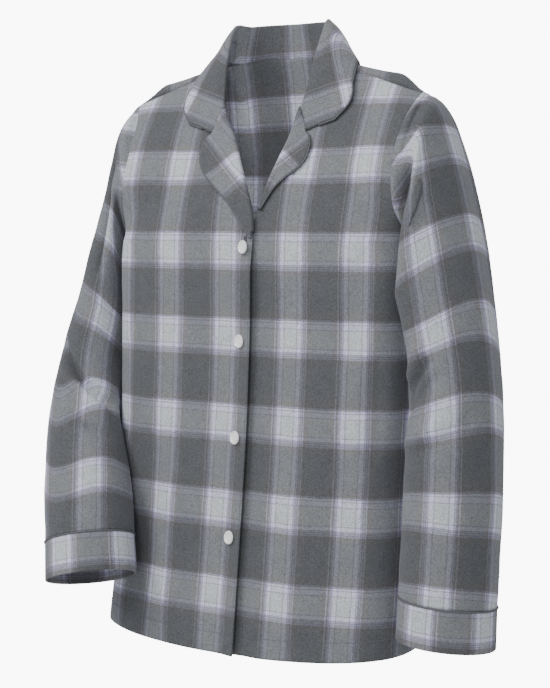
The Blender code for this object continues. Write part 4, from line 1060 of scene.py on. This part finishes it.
LAPEL_ACROSS = (-0.6843, 0.2188, 0.6957)  # on the cloth, square to the lower outer edge
LAPEL_DOWN = (-0.5945, -0.3440, -0.7268)
LAPEL_WARP_FROM = {"left": -0.1160, "right": -0.1120}
LAPEL_WEFT_FROM = {"left": 0.0640, "right": 0.0775}
for side, flip in SIDES:
    grid = refine(lapel_grid(side), *LAPEL_FINE)
    top = face_normals(grid)
    cut = np.stack((grid @ LAPEL_ACROSS - LAPEL_WARP_FROM[side], grid @ LAPEL_DOWN - LAPEL_WEFT_FROM[side]),
                   axis=-1)
    piece = cut_cloth("flannel_lapel_" + side, grid * flip, cut, -top * flip, FOLD_WALL)
    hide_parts("lapel_" + side)
    edge = grid[:, -1]
    rows = np.r_[0, 2:len(edge)]
    start = edge[0] + (edge[2] - edge[0]) * LAPEL_CORD_FROM
    cord = rim_line(np.vstack((start, edge[2:])), (edge - grid[:, -LAPEL_INSIDE])[rows], top[rows, -1])
    piece = lay_cord("cord_lapel_" + side, cord * flip)
    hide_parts("lapel_piping_" + side)

# ---- Collar -----------------------------------------------------------------
# Stand and fall are one cut of flannel on each face, folded over round the neck
# and sewn to the back, the fronts and the lapels. Its outer edge is piped.
COLLAR_COLUMNS = ("station", "seam", "roll", "middle", "edge")
COLLAR = (
    (0.00, (0.0000, 0.0556, 0.0118), (0.0000, 0.0500, 0.0530),
     (0.0000, 0.0640, 0.0290), (0.0000, 0.0725, -0.0040)),
    (0.22, (0.0340, 0.0506, 0.0112), (0.0290, 0.0470, 0.0530),
     (0.0390, 0.0605, 0.0290), (0.0460, 0.0685, -0.0060)),
    (0.44, (0.0580, 0.0346, 0.0068), (0.0500, 0.0340, 0.0510),
     (0.0670, 0.0450, 0.0290), (0.0800, 0.0510, -0.0050)),
    (0.64, (0.0705, 0.0100, 0.0038), (0.0580, 0.0085, 0.0465),
     (0.0760, 0.0130, 0.0280), (0.0985, 0.0120, 0.0020)),
    (0.80, (0.0640, -0.0115, -0.0190), (0.0545, -0.0100, 0.0080),
     (0.0780, -0.0140, -0.0040), (0.1040, -0.0120, -0.0220)),
)
COLLAR_CORNER = (0.1045, -0.0500)  # where the rounded corner begins, on the outer edge
COLLAR_END = (0.0930, -0.0645)  # and where it ends, on the front edge
COLLAR_CORNER_STATION = 0.94
COLLAR_LIFT = 0.0028
COLLAR_STAND = 3  # columns of the collar from its neck seam up to the fold
GORGE_SHARED = (0, 1, 2, 3, 4, 6, 8)  # places on the lapel's first row that the collar takes
STAND_END = (0.0015, 0.0010, 0.0005)  # the stand dies away where the gorge begins
STAND_SHARES = (0.0, 0.37, 0.74)  # places of a row from the neck seam up to the fold
FALL_BULGE = 0.0012  # the fall swells this much below the fold
COLLAR_INSIDE = 14  # columns in from the edge, from where the cord's side is told
COLLAR_HALF_ROWS = 16
COLLAR_FINE = (161, 52)  # rows and columns of the finished collar
LEAF_DOWN = (0.362, -0.263, -0.894)  # across the front leaf of the collar, and along it
LEAF_ALONG = (0.928, 0.197, 0.318)
LEAF_WARP_FROM = -0.0900
LEAF_WEFT_FROM = 0.0716
NAPE_WARP_FROM = -0.0185
NAPE_WEFT_FROM = 0.0600
LEAF_ROWS = (40, 65)  # from here to there, in rows from the back, the plaid turns


def collar_half_grid():
    """Rows from the centre back to the front end, columns from the neck seam over the roll to the edge."""
    stations = [row[0] for row in COLLAR]
    points = {name: np.array([row[place] for row in COLLAR], float)
              for place, name in enumerate(COLLAR_COLUMNS) if place}
    crest = on_front(NECK_ROLL_U, GORGE_Z, 0.0)
    notch = on_front(*NOTCH, LAPEL_LIFT)
    out = front_normal(NECK_ROLL_U, station_at(NECK_ROLL_U, GORGE_Z), "right")
    ends = {"seam": crest + unit(notch - crest) * (ROLL_RADIUS + FOLD_WALL),
            "roll": crest + out * ROLL_RADIUS,
            "middle": notch,
            "edge": on_front(*COLLAR_END, COLLAR_LIFT)}
    stations.extend((COLLAR_CORNER_STATION, 1.0))
    share = (COLLAR_CORNER_STATION - COLLAR[-1][0]) / (1.0 - COLLAR[-1][0])
    for name in points:
        between = points[name][-1] + (ends[name] - points[name][-1]) * share
        if name == "edge":
            between = on_front(*COLLAR_CORNER, COLLAR_LIFT)
        points[name] = np.vstack((points[name], between, ends[name]))
    at = np.linspace(0, 1, COLLAR_HALF_ROWS + 1)
    curve = {name: spline(stations, points[name], at) for name in points}
    tangent = unit(np.gradient(curve["roll"], axis=0))
    tangent[0] = (1, 0, 0)
    rows = []
    for row in range(len(at)):
        seam, roll = curve["seam"][row], curve["roll"][row]
        middle, edge = curve["middle"][row], curve["edge"][row]
        up = roll - (seam + middle) / 2
        up = unit(up - tangent[row] * np.dot(up, tangent[row]))
        facing = unit(np.cross(tangent[row], up))
        if np.dot(facing, middle - seam) < 0:
            facing = -facing
        stem = roll - up * (ROLL_RADIUS + FOLD_WALL) - facing * ROLL_RADIUS
        stand = [seam + (stem - seam) * share for share in STAND_SHARES]
        shoulder = roll - up * (ROLL_RADIUS + FOLD_WALL) + facing * ROLL_RADIUS
        fall = [shoulder + (middle - shoulder) * 0.5 + facing * FALL_BULGE, middle,
                middle + (edge - middle) * 0.5, edge]
        rows.append(fold_path(stand, roll, up, facing, ROLL_RADIUS, fall))
    grid = np.array(rows)
    gorge = lapel_row(NECK_ROLL_U, GORGE_Z, *NOTCH, "right")
    grid[-1, COLLAR_STAND:COLLAR_STAND + len(GORGE_SHARED)] = gorge[list(GORGE_SHARED)]
    grid[-1, :COLLAR_STAND] = grid[-1, COLLAR_STAND] + np.outer(STAND_END, unit(notch - crest))
    return grid


def own_cut(grid):
    """Each place's own distance along and across a folded piece, in metres."""
    across = np.mean(to_edge(grid, 1, last=False), axis=0)
    along = np.mean(to_edge(grid, 0, last=False), axis=1)
    return np.stack(np.broadcast_arrays(along[:, None], across[None, :]), axis=-1)


half = collar_half_grid()
grid = refine(np.concatenate((half[:0:-1] * (-1, 1, 1), half)), *COLLAR_FINE)
top = -face_normals(grid)
middle_row = COLLAR_FINE[0] // 2
nape = own_cut(grid)
nape[..., 0] = np.abs(nape[..., 0] - nape[middle_row, 0, 0])
nape = nape - (NAPE_WARP_FROM, NAPE_WEFT_FROM)
folded = grid * np.where(grid[..., :1] < 0, -1, 1) ** np.array((1, 0, 0))
leaf = np.stack((folded @ LEAF_DOWN - LEAF_WARP_FROM, folded @ LEAF_ALONG - LEAF_WEFT_FROM), axis=-1)
on_leaf = smoothstep(*LEAF_ROWS, np.abs(np.arange(COLLAR_FINE[0]) - middle_row))[:, None, None]
cut = nape * (1 - on_leaf) + leaf * on_leaf
piece = cut_cloth("flannel_collar", grid, cut, -top, FOLD_WALL)
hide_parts("collar")
corner = round((COLLAR_STAND + len(GORGE_SHARED)) * (COLLAR_FINE[1] - 1) / (half.shape[1] - 1))
edge = np.vstack((grid[0, corner:-1], grid[:, -1], grid[-1, -2:corner - 1:-1]))
lift = np.vstack((top[0, corner:-1], top[:, -1], top[-1, -2:corner - 1:-1]))
middle = grid[:, -COLLAR_INSIDE].mean(axis=0)
run = unit(np.gradient(edge, axis=0))
outside = np.cross(run, lift)
outside = outside * np.sign(np.sum((edge - middle) * outside))
cord = rim_line(edge, outside, lift)
piece = lay_cord("cord_collar", cord)
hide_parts("collar_piping")

# ---- Buttons ----------------------------------------------------------------
# Four round two-hole buttons of polished white shell with a raised rim, sewn to
# the left front with white thread and pushed through worked holes in the right.
BUTTONS = (  # x, z
    (0.0055, -0.2030),
    (0.0015, -0.3065),
    (0.0010, -0.4125),
    (0.0010, -0.5215),
)
BUTTON_PROFILE = ((0.0, 0.0), (0.0050, 0.0), (0.0064, 0.0004), (0.0073, 0.0011), (0.0075, 0.0017),
                  (0.0074, 0.0024), (0.0069, 0.0033), (0.0063, 0.0035), (0.0057, 0.0031),
                  (0.0052, 0.0024), (0.0047, 0.0021), (0.0034, 0.0020), (0.0, 0.0020))
BUTTON_LEAN = math.radians(-24)  # its shank lets each button lean towards the closing edge
BUTTON_SEGMENTS = 64
BUTTON_HOLE_RADIUS = 0.0009
BUTTON_HOLE_OFFSET = 0.0017
DRILL_DEPTH = 0.02  # well through the button
BUTTON_GAP = 0.0020
BUTTON_STATIONS = (0.0, 1.4)  # the buttons lie between these stations of the front
BUTTON_SHARP = 40  # degrees between faces from which an edge looks sharp
BUTTON_THREAD_RADIUS = 0.0004
THREAD_REACH = 1.25  # the thread's loop runs this far past the middle, in hole offsets
THREAD_LOW = 0.0002  # it lies between these two heights in the button's dish
THREAD_ARCH = 0.0007


def make_shell():
    """Polished white with a faint cloudiness, and a faint painted glow from its emission."""
    # The emission is a painted highlight: the shell glows faintly, brighter than its lighting alone makes
    # it.
    look, tree, shader, where = two_tone("white button shell with painted glow", (0.90, 0.90, 0.885, 1.0),
                                         (0.97, 0.97, 0.965, 1.0), 240.0, 3.0,
                                         {"Coat Weight": 0.4, "Emission Color": (1.0, 1.0, 0.985, 1.0),
                                          "Emission Strength": 0.22})
    feed(tree, shader, {"Roughness": mottle(tree, where, 900.0, 2.0, 0.18, 0.30)})
    return look


glowing_shell_look = make_shell()
thread_look = two_tone("white sewing thread", (0.60, 0.60, 0.57, 1.0), (0.82, 0.82, 0.80, 1.0),
                       2500.0, 2.0, {"Roughness": 0.85})[0]


def on_button_line(x, z):
    """Place and outward direction on the right front, from its own x and height."""
    station = station_at(0.0, z, *BUTTON_STATIONS)
    place = front_point(-x, station, "right") * (-1, 1, 1)
    normal = front_normal(-x, station, "right") * (-1, 1, 1)
    return Vector(place), Vector(normal)


for number, (x, z) in enumerate(BUTTONS, 1):
    place, normal = on_button_line(x, z)
    build = bmesh.new()
    ring = [build.verts.new((radius, 0.0, height)) for radius, height in BUTTON_PROFILE]
    edges = [build.edges.new(pair) for pair in zip(ring, ring[1:])]
    bmesh.ops.spin(build, geom=ring + edges, cent=(0, 0, 0), axis=(0, 0, 1), angle=2 * math.pi,
                   steps=BUTTON_SEGMENTS, use_merge=True)
    bmesh.ops.remove_doubles(build, verts=build.verts, dist=1e-6)
    bmesh.ops.recalc_face_normals(build, faces=build.faces)
    blank = placed("blank", as_mesh(build, "blank"))
    drills = []
    for hole in (-1, 1):
        build = bmesh.new()
        bmesh.ops.create_cone(build, cap_ends=True, segments=20, radius1=BUTTON_HOLE_RADIUS,
                              radius2=BUTTON_HOLE_RADIUS, depth=DRILL_DEPTH,
                              matrix=Matrix.Translation((0, hole * BUTTON_HOLE_OFFSET, 0)))
        drills.append(placed("drill", as_mesh(build, "drill")))
        cut_out = blank.modifiers.new("hole", "BOOLEAN")
        cut_out.operation = "DIFFERENCE"
        cut_out.object = drills[-1]
    mesh = finished_mesh(blank)
    for made in drills + [blank]:
        bpy.data.objects.remove(made, do_unlink=True)
    turn = Matrix.Rotation(BUTTON_LEAN, 4, "Z") @ normal.to_track_quat("Z", "Y").to_matrix().to_4x4()
    seat = Matrix.Translation(place + normal * BUTTON_GAP) @ turn
    mesh.transform(seat)
    button = dress(mesh, "shell_button_%d" % number, glowing_shell_look)
    mesh.set_sharp_from_angle(angle=math.radians(BUTTON_SHARP))
    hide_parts("button_%d" % number)
    rise = np.linspace(-THREAD_REACH, THREAD_REACH, 15)
    height = THREAD_LOW + THREAD_ARCH * (1 - (rise / THREAD_REACH) ** 4)
    loop = [seat @ Vector((0.0, step * BUTTON_HOLE_OFFSET, high)) for step, high in zip(rise, height)]
    lay_cord("thread_button_%d" % number, loop, radius=BUTTON_THREAD_RADIUS, look=thread_look,
             slot="button_shell")

# ---- Buttonholes and stitching ----------------------------------------------
# Upright holes worked in grey thread stand in the right front, one at each button.
# A row of machine stitches runs just inside its turned edge, and another round the hem.
BUTTONHOLE_LENGTH = 0.0190
BUTTONHOLE_WIDTH = 0.0017
BUTTONHOLE_FROM_BUTTON = (0.0006, 0.0030)  # in x and z
BUTTONHOLE_FULLNESS = 0.62  # its two worked sides stand this share of the width apart
WORKED_RADIUS = 0.00048  # of its worked edge, and how far that stands off the cloth
WORKED_PROUD = 0.00075
SLIT_RADIUS = 0.00062
SLIT_PROUD = 0.00050
STITCH_PITCH = 0.0031
STITCH_RADIUS = 0.00022
STITCH_SPAN = (0.08, 0.92)  # shares of the pitch where a stitch starts and ends
STITCH_ARCH = 0.00012  # its middle rises by this, its ends dip by half of it
STITCH_PROUD = 0.0001
EDGE_STITCH_IN = 0.0022  # the front edge is stitched this far in
EDGE_STITCH_TO = 0.012  # up to this far below the break
HEM_DEPTH = 0.0230
HEM_COLUMN = {"front": 30, "back": 66}  # the hem's row is found in this column


def stitch_runs(line, outward):
    """Short arched stitches with small gaps, laid along a line on the cloth."""
    length = run_length(line)
    arch = np.array((-0.5, 1.0, 1.0, -0.5)) * STITCH_ARCH
    runs = []
    for start in np.arange(0.0, length[-1] - STITCH_PITCH, STITCH_PITCH):
        at = start + STITCH_PITCH * np.linspace(*STITCH_SPAN, 4)
        places = np.stack([np.interp(at, length, line[:, axis]) for axis in range(3)], axis=-1)
        rises = np.stack([np.interp(at, length, outward[:, axis]) for axis in range(3)], axis=-1)
        runs.append(places + rises * arch[:, None])
    return runs


def hem_stitches(skin, outward, flip, middle):
    """Stitches along one panel's hem, at the height that its middle column gives."""
    row = int(np.argmin(np.abs(skin[:, middle, 2] - skin[0, middle, 2] - HEM_DEPTH)))
    return stitch_runs((skin + outward * STITCH_PROUD)[row] * flip, outward[row] * flip)


seam_thread = two_tone("grey sewing thread", (0.150, 0.148, 0.170, 1.0), (0.260, 0.258, 0.290, 1.0),
                       1800.0, 2.0, {"Roughness": 0.9})[0]
# The near-black cord along each buttonhole is painted shadow in its open slit.
slit_shadow_look = two_tone("painted shadow in buttonhole slit", (0.014, 0.014, 0.018, 1.0), (0.040, 0.040, 0.048, 1.0),
                     1500.0, 2.0, {"Roughness": 0.95})[0]
for number, (x, z) in enumerate(BUTTONS, 1):
    x, z = x + BUTTONHOLE_FROM_BUTTON[0], z + BUTTONHOLE_FROM_BUTTON[1]
    worked = []
    slit = []
    for turn in np.linspace(0, 2 * math.pi, 40, endpoint=False):
        along = (0.5 * BUTTONHOLE_LENGTH - BUTTONHOLE_WIDTH) * np.sign(math.sin(turn))
        across = BUTTONHOLE_WIDTH * BUTTONHOLE_FULLNESS * math.cos(turn)
        place, normal = on_button_line(x + across, z + along + BUTTONHOLE_WIDTH * math.sin(turn))
        worked.append(place + normal * WORKED_PROUD)
    # The dark cord down the middle of each buttonhole is painted shadow in the slit.
    for along in np.linspace(-0.5, 0.5, 12) * (BUTTONHOLE_LENGTH - 2 * BUTTONHOLE_WIDTH):
        place, normal = on_button_line(x, z + along)
        slit.append(place + normal * SLIT_PROUD)
    lay_cord("buttonhole_%d" % number, worked, closed=True, radius=WORKED_RADIUS, look=seam_thread,
             slot="flannel")
    lay_cord("buttonhole_slit_%d" % number, slit, radius=SLIT_RADIUS, look=slit_shadow_look, slot="flannel")

for side, flip in SIDES:
    front, front_out = skins[side]
    runs = hem_stitches(front, front_out, flip, HEM_COLUMN["front"])
    if side == "right":
        from_edge = to_edge(front, 1, last=False)
        top_row = int(np.argmin(np.abs(front[:, 0, 2] - BREAK_Z[side] + EDGE_STITCH_TO)))
        line = []
        rises = []
        for row in range(0, top_row):
            column_at = np.interp(EDGE_STITCH_IN, from_edge[row], np.arange(front.shape[1]))
            low = int(column_at)
            line.append(front[row, low] + (front[row, low + 1] - front[row, low]) * (column_at - low))
            rises.append(front_out[row, low + 1])
        line = np.array(line) + np.array(rises) * STITCH_PROUD
        runs = runs + stitch_runs(line * flip, np.array(rises) * flip)
    lay_cord("stitches_front_" + side, *runs, radius=STITCH_RADIUS, look=seam_thread, slot="flannel")
runs = hem_stitches(*skins["back"], np.ones(3), HEM_COLUMN["back"])
lay_cord("stitches_back", *runs, radius=STITCH_RADIUS, look=seam_thread, slot="flannel")
